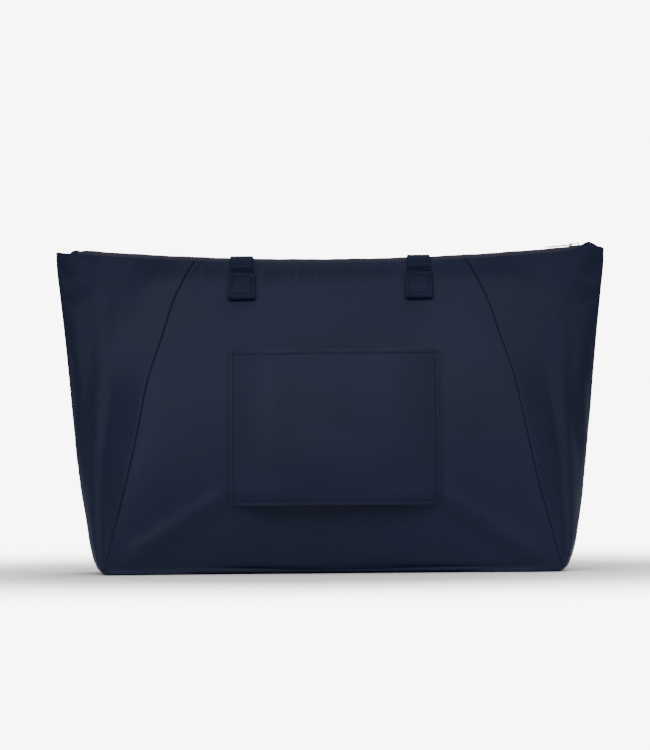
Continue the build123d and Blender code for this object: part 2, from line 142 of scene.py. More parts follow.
def grid_faces(rows, columns, closed=False):
    """Quads of a grid whose points are stored row by row."""
    faces = []
    for r in range(rows - 1):
        for c in range(columns if closed else columns - 1):
            d = (c + 1) % columns
            faces.append((r * columns + c, r * columns + d, (r + 1) * columns + d, (r + 1) * columns + c))
    return faces


def tube_faces(rings, sides):
    """Faces of a tube with closed ends whose rings are stored one after the other."""
    last = (rings - 1) * sides
    caps = [tuple(range(sides))[::-1], tuple(range(last, last + sides))]
    return grid_faces(rings, sides, closed=True) + caps


def grid_normals(points):
    """Unit normals of a grid of points, shape (rows, columns, 3). They leave the bag on its shell."""
    return unit(np.cross(np.gradient(points, axis=1), np.gradient(points, axis=0)))


def cloth_lengths(points):
    """The flat coordinates of a grid: length along its rows and up its columns, in metres."""
    along = np.linalg.norm(np.diff(points, axis=1), axis=2)
    up = np.linalg.norm(np.diff(points, axis=0), axis=2)
    u = np.concatenate([np.zeros((points.shape[0], 1)), np.cumsum(along, axis=1)], axis=1)
    v = np.concatenate([np.zeros((1, points.shape[1])), np.cumsum(up, axis=0)], axis=0)
    return np.stack([u - u.mean(axis=1, keepdims=True), v], axis=2)


def sheet_object(name, points, thickness, outward=1, keep=None, lining=False):
    """A closed sheet from a grid of points on its outer face, with its inner face behind it.
    keep marks the cells of the grid that are cloth. lining gives the inner face its own material."""
    inner = points - grid_normals(points) * outward * thickness
    flat = cloth_lengths(points).reshape(-1, 2)
    count = len(flat)
    outer_faces = grid_faces(*points.shape[:2])
    if keep is not None:
        outer_faces = [f for f, kept in zip(outer_faces, keep.ravel()) if kept]
    if outward < 0:
        outer_faces = [f[::-1] for f in outer_faces]
    edges = {(a, b) for f in outer_faces for a, b in zip(f, f[1:] + f[:1])}
    rim = [(b, a, a + count, b + count) for a, b in edges if (b, a) not in edges]
    inner_faces = [tuple(i + count for i in f[::-1]) for f in outer_faces]
    verts = np.concatenate([points.reshape(-1, 3), inner.reshape(-1, 3)])
    obj = new_object(name, verts, outer_faces + inner_faces + sorted(rim), np.concatenate([flat, flat]))
    mesh = obj.data
    if lining:
        marks = [0] * len(outer_faces) + [1] * len(inner_faces) + [0] * len(rim)
        mesh.polygons.foreach_set("material_index", marks)
    if keep is not None:
        mesh.validate()
    sharp = mesh.attributes.new("sharp_edge", "BOOLEAN", "EDGE")
    ends = np.empty(len(mesh.edges) * 2, int)
    mesh.edges.foreach_get("vertices", ends)
    border = {tuple(sorted(p)) for a, b, c, d in rim for p in ((a, b), (c, d))}
    sharp.data.foreach_set("value", [tuple(sorted(p)) in border for p in ends.reshape(-1, 2).tolist()])
    return obj


# Half of the webbing's section, from its left edge over its face, in half widths and half thicknesses.
RIBBON_FACE = [
    (-1, 0.0), (-0.985, 0.62), (-0.93, 1), (-0.5, 1.06), (0, 1.0), (0.5, 1.06), (0.93, 1), (0.985, 0.62)
]
RIBBON_RING = RIBBON_FACE + [(-x, -y) for x, y in RIBBON_FACE]


def ribbon(name, centres, faces_out, width, thickness):
    """Flat webbing along a line. faces_out is the direction its face looks in at each point."""
    centres = np.asarray(centres, float)
    faces_out = np.asarray(faces_out, float)
    tangents = unit(np.gradient(centres, axis=0))
    faces_out = unit(faces_out - tangents * np.sum(faces_out * tangents, axis=1, keepdims=True))
    across = np.cross(tangents, faces_out)
    half, deep = width / 2, thickness / 2
    verts, uvs = [], []
    for centre, out, sideways, run in zip(centres, faces_out, across, run_along(centres)):
        verts += [centre + sideways * x * half + out * y * deep for x, y in RIBBON_RING]
        uvs += [(x * half, run) for x, _ in RIBBON_RING]
    return new_object(name, verts, tube_faces(len(centres), len(RIBBON_RING)), uvs)


# Rings of one stitch: place along it in lengths, then size and rise in radii.
STITCH_HALF_SHAPE = ((0.5, 0.25, -0.9), (0.42, 0.8, 0.1), (0.2, 1, 0.6))
STITCH = [(-along, size, rise) for along, size, rise in STITCH_HALF_SHAPE] + list(STITCH_HALF_SHAPE[::-1])
STITCH_SIDES = 6
STITCH_LIFT = 0.1 * MM


def stitches(name, rows, length=2.0 * MM, radius=0.24 * MM):
    """Sewn thread: one small rounded stitch at each (point, direction, outward) of rows."""
    *around, first, last = tube_faces(len(STITCH), STITCH_SIDES)
    shape = [(f[0],) + f[:0:-1] for f in around] + [first[::-1], last[::-1]]
    verts, faces = [], []
    for point, direction, outward in rows:
        direction = unit(direction)
        outward = unit(outward - direction * outward.dot(direction))
        across = np.cross(direction, outward)
        faces += [tuple(len(verts) + i for i in f) for f in shape]
        for along, size, rise in STITCH:
            centre = point + direction * along * length + outward * (rise * radius + STITCH_LIFT)
            for angle in np.arange(STITCH_SIDES) * 2 * math.pi / STITCH_SIDES:
                verts.append(centre + (across * math.cos(angle) + outward * math.sin(angle)) * radius * size)
    return new_object(name, verts, faces)


def rows_along(pairs, pitch):
    """Stitch places spaced evenly along a line given as (point, outward) pairs."""
    points = np.array([p for p, _ in pairs], float)
    outwards = np.array([n for _, n in pairs], float)
    lengths = run_along(points)
    count = max(1, int(lengths[-1] / pitch))
    ahead = 0.3 * pitch

    def at(run, values):
        return np.array([np.interp(run, lengths, values[:, k]) for k in range(3)])

    places = (np.arange(count) + 0.5) * lengths[-1] / count
    return [(at(s, points), at(s + ahead, points) - at(s - ahead, points), at(s, outwards)) for s in places]


# ------------------------------------------------------------------ the bag's shell before it is simulated
WALL_COLUMNS = 72
END_COLUMNS = 16
ROWS = 54
HALF_RING = WALL_COLUMNS + 2 * END_COLUMNS
RING = 2 * HALF_RING
BACK_AT = (END_COLUMNS, END_COLUMNS + WALL_COLUMNS)
RIGHT_AT = (BACK_AT[1], BACK_AT[1] + 2 * END_COLUMNS)
FRONT_AT = (RIGHT_AT[1], RIGHT_AT[1] + WALL_COLUMNS)
LEFT_AT = (FRONT_AT[1], FRONT_AT[1] + 2 * END_COLUMNS)
# The ring's columns along the base: back, front, left, right.
BASE_SIDES = (
    np.arange(BACK_AT[0], BACK_AT[1] + 1),
    np.arange(FRONT_AT[0], FRONT_AT[1] + 1)[::-1],
    np.arange(LEFT_AT[0], LEFT_AT[1] + 1)[::-1] % RING,
    np.arange(RIGHT_AT[0], RIGHT_AT[1] + 1),
)
# The mouth's back edge is pushed up where the closed zip's slider lies behind it.
CORNER_BUMP, BUMP_AT, BUMP_REACH = 7.4 * MM, 228.5 * MM, 8.0 * MM


def wall_depth(x, z):
    """Half depth of the back wall with the tuck that runs from each bottom corner to the sleeve."""
    reach = np.abs(x)
    ridge = (14 + 50 * ease((186 * MM - reach) / (86 * MM))) * MM
    tuck = (9 + 8 * ease((200 * MM - reach) / (110 * MM))) * MM
    full = through(np.maximum(z, 62 * MM), DEPTH)
    return full - tuck * np.clip(1 - z / ridge, 0, 1) ** 1.25


def end_row(q, z):
    """Half of an end panel, from the seam over the cheek to the crease, at shares q of its width."""
    seam = np.stack([through(z, SEAM), through(z, DEPTH)], axis=1)
    cheek = np.stack([through(z, CHEEK_X), through(z, CHEEK_Y)], axis=1)
    crease = np.stack([through(z, CREASE), 0 * z], axis=1)
    first = np.linalg.norm(cheek - seam, axis=1)
    second = np.linalg.norm(crease - cheek, axis=1)
    along = q * (first + second)
    a = np.clip(along / first, 0, 1)[:, None]
    b = np.clip((along - first) / second, 0, 1)[:, None]
    flat = seam + (cheek - seam) * a + (crease - cheek) * b
    return np.concatenate([flat, z[:, None]], axis=1)


def half_ring(t, side):
    """One row of the shell's half, from the left crease by one wall to the right crease."""
    s = np.linspace(-1, 1, WALL_COLUMNS + 1)
    q = np.linspace(0, 1, END_COLUMNS + 1)[1:]
    z = t * top_line(s * SEAM_AT_MOUTH * MM)
    x = s * through(z, SEAM)
    rigid = through(z, DEPTH)
    near_seam = ease((np.abs(s) - 0.86) / 0.14)
    soft = wall_depth(x, z) if side < 0 else rigid - 4 * MM * ease(1 - z / (46 * MM)) * (1 - s**2)
    belly = 3.2 * MM * (1 - s**2) * np.sin(np.pi * np.clip(z / (262 * MM), 0, 1))
    y = soft + (rigid - soft) * near_seam + belly
    wall = np.stack([x, y, z], axis=1)
    end_x = (SEAM_AT_MOUTH + q * SEAM_AT_MOUTH) * MM
    raised = CORNER_BUMP * hump(end_x, BUMP_AT, BUMP_REACH) if side < 0 else 0.0
    left = end_row(q, t * top_line(end_x))[::-1] * [-1, 1, 1]
    right = end_row(q, t * (top_line(end_x) + raised))
    return np.concatenate([left, wall, right]) * [1, side, 1]


def smoothed(row, sigma):
    """A row rounded along its length with its two end points kept."""
    reach = int(4 * sigma) + 1
    weights = np.exp(-0.5 * (np.arange(-reach, reach + 1) / sigma) ** 2)
    weights /= weights.sum()
    before = 2 * row[0] - row[reach:0:-1]
    after = 2 * row[-1] - row[-2 : -reach - 2 : -1]
    long = np.concatenate([before, row, after])
    return np.stack([np.convolve(long[:, k], weights, mode="valid") for k in range(3)], axis=1)


def soft_folds(points, side):
    """Broad folds in the cloth, in millimetres outwards at points on one side: slow waves, a fold
    from each bottom corner, one at each top corner, and the back wall's pull on its two tabs."""
    x, z = points[:, 0] / MM, points[:, 2] / MM
    fade = np.clip(z / 22, 0, 1) * np.clip((272 - z) / 26, 0, 1)
    reach = np.abs(x)
    lift = 1.3 * np.sin(x / 31 + 1.7 * np.sin(z / 58 + 0.4 * side)) * np.sin(z / 47 + 0.8)
    lift += 0.8 * np.sin((x + 1.3 * z) / 23 + side) * np.sin((x - 0.6 * z) / 61)
    along = (z - 12) - (190 - reach) * 0.62
    lift += 2.6 * hump(along, 0, 9) * ease((205 - reach) / 40) * ease((reach - 80) / 30)
    lift -= 1.6 * hump(along, -17, 10) * ease((205 - reach) / 40) * ease((reach - 70) / 30)
    upper = (reach - 218) * 0.55 + (z - 262)
    lift += 1.5 * hump(upper, 0, 7) * ease((reach - 150) / 50)
    lift -= 1.2 * hump(upper, -19, 9) * ease((reach - 140) / 60)
    if side < 0:
        lift -= 1.7 * (hump(reach, 79, 15) * hump(z, 226, 24))
    return lift * fade * MM


def shell_points():
    """The whole shell as rows of one closed ring: left crease, back wall, right crease, front wall."""
    rows = []
    for r in range(ROWS + 1):
        halves = []
        for side in (-1, 1):
            row = half_ring(r / ROWS, side)
            height = float(row[:, 2].mean()) / MM
            row = smoothed(row, 0.25 + 2.1 * float(ease(height / 80) * ease((284 - height) / 40)))
            tangent = np.gradient(row[:, :2], axis=0)
            out = unit(np.stack([tangent[:, 1], -tangent[:, 0]], axis=1) * -side)
            row[:, :2] += out * soft_folds(row, side)[:, None] * ease(np.abs(row[:, 1:2]) / (9 * MM))
            halves.append(row)
        rows.append(np.concatenate([halves[0][:-1], halves[1][::-1][:-1]]))
    return np.array(rows)


def base_points(ring):
    """The base inside the shell's lowest row, one row of points for each step from back to front."""
    back, front, left, right = (ring[side] for side in BASE_SIDES)
    u = np.linspace(0, 1, WALL_COLUMNS + 1)[None, :, None]
    v = np.linspace(0, 1, 2 * END_COLUMNS + 1)[:, None, None]
    across = left[:, None] * (1 - u) + right[:, None] * u
    deep = back[None] * (1 - v) + front[None] * v
    corners = (
        back[0] * (1 - u) * (1 - v) + back[-1] * u * (1 - v) + front[0] * (1 - u) * v + front[-1] * u * v
    )
    return across + deep - corners


CLOTH = dict(
    quality=7,
    mass=0.25,
    air_damping=3.0,
    tension_stiffness=25,
    compression_stiffness=25,
    shear_stiffness=8,
    bending_stiffness=3.0,
    vertex_group_mass="pins",
    shrink_min=-0.006,
    use_pressure=True,
    uniform_pressure_force=0.35,
)
CLOTH_FRAMES = 24
FARTHEST = 6.0 * MM


def simulate(ring_rows, base):
    """The shell hangs from its mouth under its own weight with a little air in it. Cloth, applied."""
    rows, count = ring_rows.shape[:2]
    inner = base[1:-1, 1:-1]
    verts = np.concatenate([ring_rows.reshape(-1, 3), inner.reshape(-1, 3)])
    faces = grid_faces(rows, count, closed=True)
    index = np.full(base.shape[:2], -1)
    index[0], index[-1], index[:, 0], index[:, -1] = BASE_SIDES
    index[1:-1, 1:-1] = rows * count + np.arange(inner.shape[0] * inner.shape[1]).reshape(inner.shape[:2])
    for r in range(index.shape[0] - 1):
        for c in range(index.shape[1] - 1):
            faces.append((index[r, c], index[r + 1, c], index[r + 1, c + 1], index[r, c + 1]))
    obj = new_object("shell_simulated", verts, faces)
    pins = obj.vertex_groups.new(name="pins")
    top = list(range((rows - 1) * count, rows * count))
    low = [int(i) for i in index.ravel()]
    crease = [r * count + c for r in range(rows) for c in (0, HALF_RING)]
    pins.add(top + low + crease, 1.0, "REPLACE")
    pins.add([(rows - 2) * count + c for c in range(count)], 0.6, "REPLACE")
    cloth = obj.modifiers.new("cloth", "CLOTH")
    for key, value in CLOTH.items():
        setattr(cloth.settings, key, value)
    cloth.settings.effector_weights.gravity = 0.6
    cloth.collision_settings.use_collision = False
    scene = bpy.context.scene
    for step in range(1, CLOTH_FRAMES + 1):
        scene.frame_set(step)
    hung = obj.evaluated_get(bpy.context.evaluated_depsgraph_get())
    done = hung.to_mesh()
    moved = np.empty(len(done.vertices) * 3)
    done.vertices.foreach_get("co", moved)
    hung.to_mesh_clear()
    bpy.data.objects.remove(obj, do_unlink=True)
    scene.frame_set(1)
    shift = moved.reshape(-1, 3) - verts
    # The front wall doesn't sag inwards below its mouth, where the pocket's pull swings past it.
    x, y, z = verts.T / MM
    kept = ease((150 - np.abs(x)) / 50) * ease((266 - z) / 14) * ease((z - 196) / 36) * (y > 0)
    shift[:, 1] -= np.minimum(shift[:, 1], 0) * kept
    length = np.linalg.norm(shift, axis=1, keepdims=True)
    verts = verts + shift * (FARTHEST * np.tanh(length / FARTHEST) / np.maximum(length, 1e-9))
    new_base = base.copy()
    new_base[1:-1, 1:-1] = verts[rows * count :].reshape(inner.shape)
    return verts[: rows * count].reshape(rows, count, 3), new_base


# ------------------------------------------------------------------ reading the shell at any place
def cubic_weights(t):
    """Catmull-Rom weights of the four points around a place."""
    t = np.asarray(t)[:, None]
    return np.concatenate(
        [
            -0.5 * t + t**2 - 0.5 * t**3,
            1 - 2.5 * t**2 + 1.5 * t**3,
            0.5 * t + 2 * t**2 - 1.5 * t**3,
            -0.5 * t**2 + 0.5 * t**3,
        ],
        axis=1,
    )


def read_grid(grid, rows_at, columns_at, closed=False):
    """Points of a grid at fractional rows and columns, on a smooth surface through its points."""
    rows_at = np.asarray(rows_at, float)
    columns_at = np.asarray(columns_at, float)
    high, wide = grid.shape[:2]
    r = np.clip(np.floor(rows_at).astype(int), 0, high - 2)
    wr = cubic_weights(rows_at - r)
    ends = np.concatenate([[2 * grid[0] - grid[1]], grid, [2 * grid[-1] - grid[-2]]])
    lines = sum(wr[:, k, None, None] * ends[r + k] for k in range(4))
    if closed:
        c = np.floor(columns_at).astype(int)
        wc = cubic_weights(columns_at - c)
        return sum(wc[None, :, k, None] * lines[:, (c + k - 1) % wide] for k in range(4))
    c = np.clip(np.floor(columns_at).astype(int), 0, wide - 2)
    wc = cubic_weights(columns_at - c)
    before, after = 2 * lines[:, :1] - lines[:, 1:2], 2 * lines[:, -1:] - lines[:, -2:-1]
    wider = np.concatenate([before, lines, after], axis=1)
    return sum(wc[None, :, k, None] * wider[:, c + k] for k in range(4))


def steps(low, high, spacing, dense=()):
    """Places from low to high about spacing apart, with a few more just inside both ends."""
    count = max(2, int(round((high - low) / spacing)))
    extra = [low + d for d in dense] + [high - d for d in dense]
    inset = max(dense, default=0)
    plain = [
        p
        for p in np.linspace(low, high, count + 1)[1:-1]
        if all(abs(p - e) > 0.3 * spacing for e in extra) and low + inset < p < high - inset
    ]
    return np.array(sorted([low, high] + extra + plain))


def groove(distance, depth=0.8 * MM):
    """How far a panel dips at a sewn edge, and the low ridge beside the stitching."""
    return -depth * hump(distance / MM, 0, 0.55) + 0.16 * MM * hump(distance / MM, 2.4, 1.5)


def edge_distance(points, axis, both=True):
    """How far each point of a grid is from its nearer end along one axis, or from its first end."""
    length = np.linalg.norm(np.diff(points, axis=axis), axis=2)
    run = np.concatenate([np.zeros_like(length.take([0], axis)), np.cumsum(length, axis=axis)], axis=axis)
    return np.minimum(run, run.take([-1], axis) - run) if both else run


# ------------------------------------------------------------------ materials
NAVY = (0.0064, 0.0094, 0.0285, 1)
WEBBING_NAVY = (0.0068, 0.0098, 0.0290, 1)
LINING = (0.030, 0.036, 0.062, 1)
TAPE_TONE = (0.022, 0.020, 0.036, 1)
COIL_TONE = (0.034, 0.029, 0.044, 1)
METAL_DARK, METAL_LIGHT = (0.045, 0.045, 0.050, 1), (0.12, 0.12, 0.125, 1)
THREAD_TINT = (0.66, 0.78, 1.0, 1)
WAVE_PITCH = 0.314  # the distance between a wave texture's bands at scale 1


def plug(tree, node, inputs):
    """Sets a node's inputs, each to a value or to another node's output."""
    for key, value in inputs.items():
        if isinstance(value, bpy.types.NodeSocket):
            tree.links.new(value, node.inputs[key])
        else:
            node.inputs[key].default_value = value


def add_node(tree, kind, inputs, output, **settings):
    """A new shader node. Gives back one of its outputs."""
    node = tree.nodes.new("ShaderNode" + kind)
    for key, value in settings.items():
        setattr(node, key, value)
    plug(tree, node, inputs)
    return node.outputs[output]


def object_place(tree):
    return add_node(tree, "TexCoord", {}, "Object")


def cloth_place(tree):
    return add_node(tree, "UVMap", {}, 0, uv_map="flat")


def noise(tree, vector, scale, detail=3.0):
    values = {"Scale": scale, "Detail": detail, "Roughness": 0.55, "Vector": vector}
    return add_node(tree, "TexNoise", values, "Fac")


def wave(tree, vector, pitch, direction):
    values = {"Scale": WAVE_PITCH / pitch, "Distortion": 0.0, "Vector": vector}
    return add_node(tree, "TexWave", values, "Fac", bands_direction=direction)


def maths(tree, kind, a, b):
    return add_node(tree, "Math", {0: a, 1: b}, 0, operation=kind)


def mixed(tree, a, share_a, b, share_b):
    """Two textures added in shares."""
    return maths(tree, "ADD", maths(tree, "MULTIPLY", a, share_a), maths(tree, "MULTIPLY", b, share_b))


def ramp(tree, fac, low, high, low_at=0.0, high_at=1.0):
    node = tree.nodes.new("ShaderNodeValToRGB")
    for element, colour, at in zip(node.color_ramp.elements, (low, high), (low_at, high_at)):
        element.color = colour
        element.position = at
    plug(tree, node, {"Fac": fac})
    return node.outputs["Color"]


def spread(tree, fac, low, high):
    return add_node(tree, "MapRange", {"To Min": low, "To Max": high, "Value": fac}, 0)


def tone(colour, share):
    return tuple(min(1.0, c * share) for c in colour[:3]) + (1,)


def new_material(name):
    material = bpy.data.materials.new(name)
    material.use_nodes = True
    return material, material.node_tree


def surface(material, colour, roughness, height, depth, **more):
    """Joins up a material: its colour, roughness, relief and any further values of its shader."""
    tree = material.node_tree
    relief = add_node(tree, "Bump", {"Distance": depth, "Strength": 1.0, "Height": height}, "Normal")
    shader = tree.nodes["Principled BSDF"]
    plug(tree, shader, {"Base Color": colour, "Roughness": roughness, "Normal": relief, **more})
    return material


def sheen(level, tint, weight, roughness, colour):
    return {
        "Specular IOR Level": level,
        "Specular Tint": tint,
        "Sheen Weight": weight,
        "Sheen Roughness": roughness,
        "Sheen Tint": colour,
    }


def cloth_material(name, colour, pitch=0.42 * MM, gloss=0.55, shine=0.06, twill=False):
    """Fine woven nylon: crossing threads, a slightly uneven dye and a soft sheen."""
    material, tree = new_material(name)
    flat, where = cloth_place(tree), object_place(tree)
    warp = wave(tree, flat, pitch, "DIAGONAL" if twill else "X")
    threads = maths(tree, "MULTIPLY", warp, wave(tree, flat, pitch, "Y"))
    dye = mixed(tree, noise(tree, where, 9.0, 4.0), 0.75, noise(tree, flat, 900.0, 2.0), 0.25)
    colours = ramp(tree, dye, tone(colour, 0.86), tone(colour, 1.16), 0.3, 0.72)
    rough = spread(tree, dye, gloss - 0.06, gloss + 0.08)
    height = mixed(tree, threads, 0.55, noise(tree, where, 55.0), 2.2)
    look = sheen(0.26, (0.76, 0.80, 1.0, 1), shine, 0.45, (0.42, 0.52, 0.95, 1))
    return surface(material, colours, rough, height, 0.06 * MM, **look)


def webbing_material(name, colour):
    """Ribbed nylon webbing: rows of floats along its length, an uneven dye and painted shade in the hollows
    between its threads.
    """
    material, tree = new_material(name)
    flat = cloth_place(tree)
    ribs, picks = wave(tree, flat, 1.25 * MM, "X"), wave(tree, flat, 0.8 * MM, "DIAGONAL")
    threads = maths(tree, "MULTIPLY", ribs, picks)
    cloud = noise(tree, object_place(tree), 40.0)
    # Painted shade: the colour darkens where the weave's relief is low, mixed with an uneven dye.
    weave_shade_and_dye = mixed(tree, threads, 0.5, cloud, 0.5)
    colours = ramp(tree, weave_shade_and_dye, tone(colour, 0.6), tone(colour, 1.45), 0.1, 0.75)
    look = sheen(0.2, THREAD_TINT, 0.05, 0.4, (0.45, 0.55, 0.95, 1))
    return surface(material, colours, spread(tree, cloud, 0.5, 0.66), threads, 0.22 * MM, **look)


def thread_material(name, colour):
    """Twisted sewing thread, its colour painted darker in the grooves of its twist: painted shade."""
    material, tree = new_material(name)
    twist = wave(tree, object_place(tree), 0.35 * MM, "DIAGONAL")
    # Painted shade: the twist that makes the relief also darkens the colour in its grooves.
    colours = ramp(tree, twist, tone(colour, 0.6), tone(colour, 1.3))
    look = {"Specular IOR Level": 0.12, "Specular Tint": THREAD_TINT}
    return surface(material, colours, spread(tree, twist, 0.5, 0.66), twist, 0.05 * MM, **look)


def coil_material(name, colour):
    """Moulded nylon filament with small glints."""
    material, tree = new_material(name)
    cloud = noise(tree, object_place(tree), 700.0, 2.0)
    colours = ramp(tree, cloud, tone(colour, 0.75), tone(colour, 1.3), 0.3, 0.7)
    return surface(material, colours, spread(tree, cloud, 0.28, 0.42), cloud, 0.03 * MM)


def metal_material(name):
    """Gunmetal plating with fine tumbling marks, a little brighter where it is rubbed."""
    material, tree = new_material(name)
    where = object_place(tree)
    scratch = noise(tree, where, 1900.0, 2.0)
    colours = ramp(tree, noise(tree, where, 260.0, 4.0), METAL_DARK, METAL_LIGHT, 0.35, 0.7)
    return surface(material, colours, spread(tree, scratch, 0.2, 0.42), scratch, 0.02 * MM, Metallic=1.0)


NYLON = cloth_material("shell_nylon", NAVY)
LINING_NYLON = cloth_material("lining_nylon", LINING, shine=0.1, twill=True)
BINDING_CLOTH = cloth_material("binding_tape", tone(NAVY, 0.8), pitch=0.7 * MM)
TAPE_CLOTH = cloth_material("zip_tape", TAPE_TONE, pitch=0.6 * MM, gloss=0.6, shine=0.35)
WEBBING = webbing_material("webbing", WEBBING_NAVY)
THREAD = thread_material("thread", tone(NAVY, 0.75))
COIL = coil_material("zip_coil", COIL_TONE)
METAL = metal_material("zip_metal")


def dress(obj, materials, slot, nodes=()):
    """Gives a piece its materials and hides the CAD nodes that it stands for. slot is not used."""
    obj.data.materials.clear()
    for material in materials:
        obj.data.materials.append(material)
    if nodes:
        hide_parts(*nodes)
    return obj


def folding_piece(obj, materials, slot, *nodes):
    """A piece of the bag's cloth, given its materials, with its CAD nodes hidden and its place baked into
    its points. It does not follow the back wall when that folds in.
    """
    dress(obj, materials, slot, nodes)
    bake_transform(obj)
    return obj


def riding_piece(obj, body, materials, slot, *nodes):
    """A piece that moves with one body."""
    dress(obj, materials, slot, nodes)
    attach(obj, body)
    return obj


# ------------------------------------------------------------------ camera, light and floor
CAMERA_AWAY = 6.0
PICTURE_HEIGHT = 0.6705  # metres at the bag's middle
SENSOR = 36
camera_data = bpy.data.cameras.new("camera")
camera = bpy.data.objects.new("camera", camera_data)
bpy.context.scene.collection.objects.link(camera)
camera.location = (-0.0054, -CAMERA_AWAY, 0.1752)
camera.rotation_euler = (math.radians(90), math.radians(0.5), 0)
camera_data.sensor_width = SENSOR
camera_data.lens = SENSOR * CAMERA_AWAY / PICTURE_HEIGHT
camera_data.clip_end = 60
bpy.context.scene.camera = camera

# Each light: name, place, the height it looks at, size and power.
LIGHTS = (
    ("key_light", (-2.5, -2.9, 2.5), 0.14, (2.8, 2.4), 84),
    ("fill_light", (2.9, -2.6, 2.3), 0.14, (2.8, 2.4), 56),
    ("front_light", (-0.3, -3.0, 3.0), 0.16, (2.6, 1.4), 36),
    ("far_light", (1.6, 3.3, 2.2), 0.14, (2.8, 2.4), 90),
    ("top_light", (0.1, 0.3, 2.6), 0.2, (2.4, 1.8), 26),
)
for name, at, height, size, power in LIGHTS:
    data = bpy.data.lights.new(name, "AREA")
    data.shape = "RECTANGLE"
    data.size, data.size_y = size
    data.energy = power
    lamp = bpy.data.objects.new(name, data)
    lamp.location = at
    lamp.rotation_euler = (Vector((0, 0, height)) - Vector(at)).to_track_quat("-Z", "Y").to_euler()
    bpy.context.scene.collection.objects.link(lamp)


def make_world(seen, cast):
    """White surroundings, brighter to the eye than the soft light they cast on the bag."""
    world = bpy.data.worlds.new("studio")
    bpy.context.scene.world = world
    world.use_nodes = True
    tree = world.node_tree
    plug(tree, tree.nodes["Background"], {"Color": (1.0, 1.0, 1.0, 1), "Strength": seen})
    shown = tree.nodes["Background"].outputs[0]
    lit = add_node(tree, "Background", {"Color": (0.94, 0.97, 1.0, 1), "Strength": cast}, 0)
    eye = add_node(tree, "LightPath", {}, "Is Camera Ray")
    both = add_node(tree, "MixShader", {0: eye, 1: lit, 2: shown}, 0)
    plug(tree, tree.nodes["World Output"], {"Surface": both})


make_world(8.0, 0.20)

FLOOR_RINGS = (0.35, 0.7, 1.1, 1.6, 2.3, 3.2)
FLOOR_SIDES = 64
FLOOR_Z = -0.4 * MM


def make_floor():
    """A wide round floor whose edge fades into the pale surroundings."""
    verts = [(0, 0, FLOOR_Z)]
    for radius in FLOOR_RINGS:
        for k in range(FLOOR_SIDES):
            angle = 2 * math.pi * k / FLOOR_SIDES
            verts.append((radius * math.cos(angle), radius * math.sin(angle), FLOOR_Z))
    faces = [(0, 1 + k, 1 + (k + 1) % FLOOR_SIDES) for k in range(FLOOR_SIDES)]
    for f in grid_faces(len(FLOOR_RINGS), FLOOR_SIDES, closed=True):
        faces.append(tuple(1 + i for i in (f[0], f[3], f[2], f[1])))
    floor = new_object("studio_floor", verts, faces)
    material, tree = new_material("floor_paper")
    where = object_place(tree)
    paper = ramp(tree, noise(tree, where, 3.0), (0.92, 0.92, 0.92, 1), (0.96, 0.96, 0.96, 1))
    far = add_node(tree, "VectorMath", {0: where}, "Value", operation="LENGTH")
    limits = {"From Min": 0.22, "From Max": 0.95, "To Min": 1.0, "To Max": 0.0, "Value": far}
    shown = add_node(tree, "MapRange", limits, 0, interpolation_type="SMOOTHSTEP")
    plug(tree, tree.nodes["Principled BSDF"], {"Base Color": paper, "Roughness": 0.85, "Alpha": shown})
    floor.data.materials.append(material)


make_floor()

# ------------------------------------------------------------------ the shell and its panels
SKIN = 0.8 * MM
FOOT = 0.9 * MM  # the height of the shell's lowest row
ring = shell_points()
ring[0, :, 2] = FOOT
ring[0, :, :2] *= 0.99
base_grid = base_points(ring[0])
base_grid[:, :, 2] = FOOT
base_grid[1:-1, 1:-1, 2] = 0
ring, base_grid = simulate(ring, base_grid)
base_grid[:, :, 2] = np.clip(base_grid[:, :, 2], 0.0, None)
ring[:, :, 2] = np.clip(ring[:, :, 2], 0.0, None)

SEAM_STEPS = (0.08, 0.18, 0.32, 0.55)
TOP_STEPS = (0.12, 0.3, 0.6)
BASE_STEPS = (0.12, 0.3)
SHELL_LOOK = ((NYLON, LINING_NYLON), "shell_nylon")


def panel(name, node, at):
    """A panel of the shell between two columns, dipping at its sewn edges."""
    points = read_grid(ring, steps(0, ROWS, 0.5, TOP_STEPS), steps(*at, 0.5, SEAM_STEPS), closed=True)
    dip = groove(edge_distance(points, 1)) + groove(edge_distance(points, 0, both=False), 0.35 * MM)
    points = points + grid_normals(points) * dip[:, :, None]
    obj = folding_piece(sheet_object(name, points, SKIN, lining=True), *SHELL_LOOK, node)


panel("shell_back", "back_panel", BACK_AT)
panel("shell_front", "front_panel", FRONT_AT)
panel("shell_right_end", "right_end_panel", RIGHT_AT)
panel("shell_left_end", "left_end_panel", LEFT_AT)

deep, wide = (steps(0, count, 0.5, BASE_STEPS) for count in (2 * END_COLUMNS, WALL_COLUMNS))
points = read_grid(base_grid, deep, wide)
points[:, :, 2] = np.clip(points[:, :, 2], 0, None)
base = sheet_object("shell_base", points, SKIN, outward=-1, lining=True)
folding_piece(base, *SHELL_LOOK, "base_panel")


# ------------------------------------------------------------------ inside: hems and seam bindings
def inner_tape(name, node, rows, columns, drop, thickness):
    """A strip of binding on the inside of the shell, drop below its outer face."""
    points = read_grid(ring, rows, columns, closed=True)
    tape = sheet_object(name, points - grid_normals(points) * drop, thickness)
    folding_piece(tape, (BINDING_CLOTH,), "binding_tape", node)


for word, at in (("back", BACK_AT), ("front", FRONT_AT)):
    drop = 0.95 * MM + 0.25 * MM * np.sin(np.linspace(0, np.pi, 8))[:, None, None]
    rows, columns = np.linspace(ROWS - 2.75, ROWS - 0.25, 8), steps(at[0] + 0.3, at[1] - 0.3, 1.0)
    inner_tape(f"hem_{word}", f"{word}_hem", rows, columns, drop, 0.5 * MM)

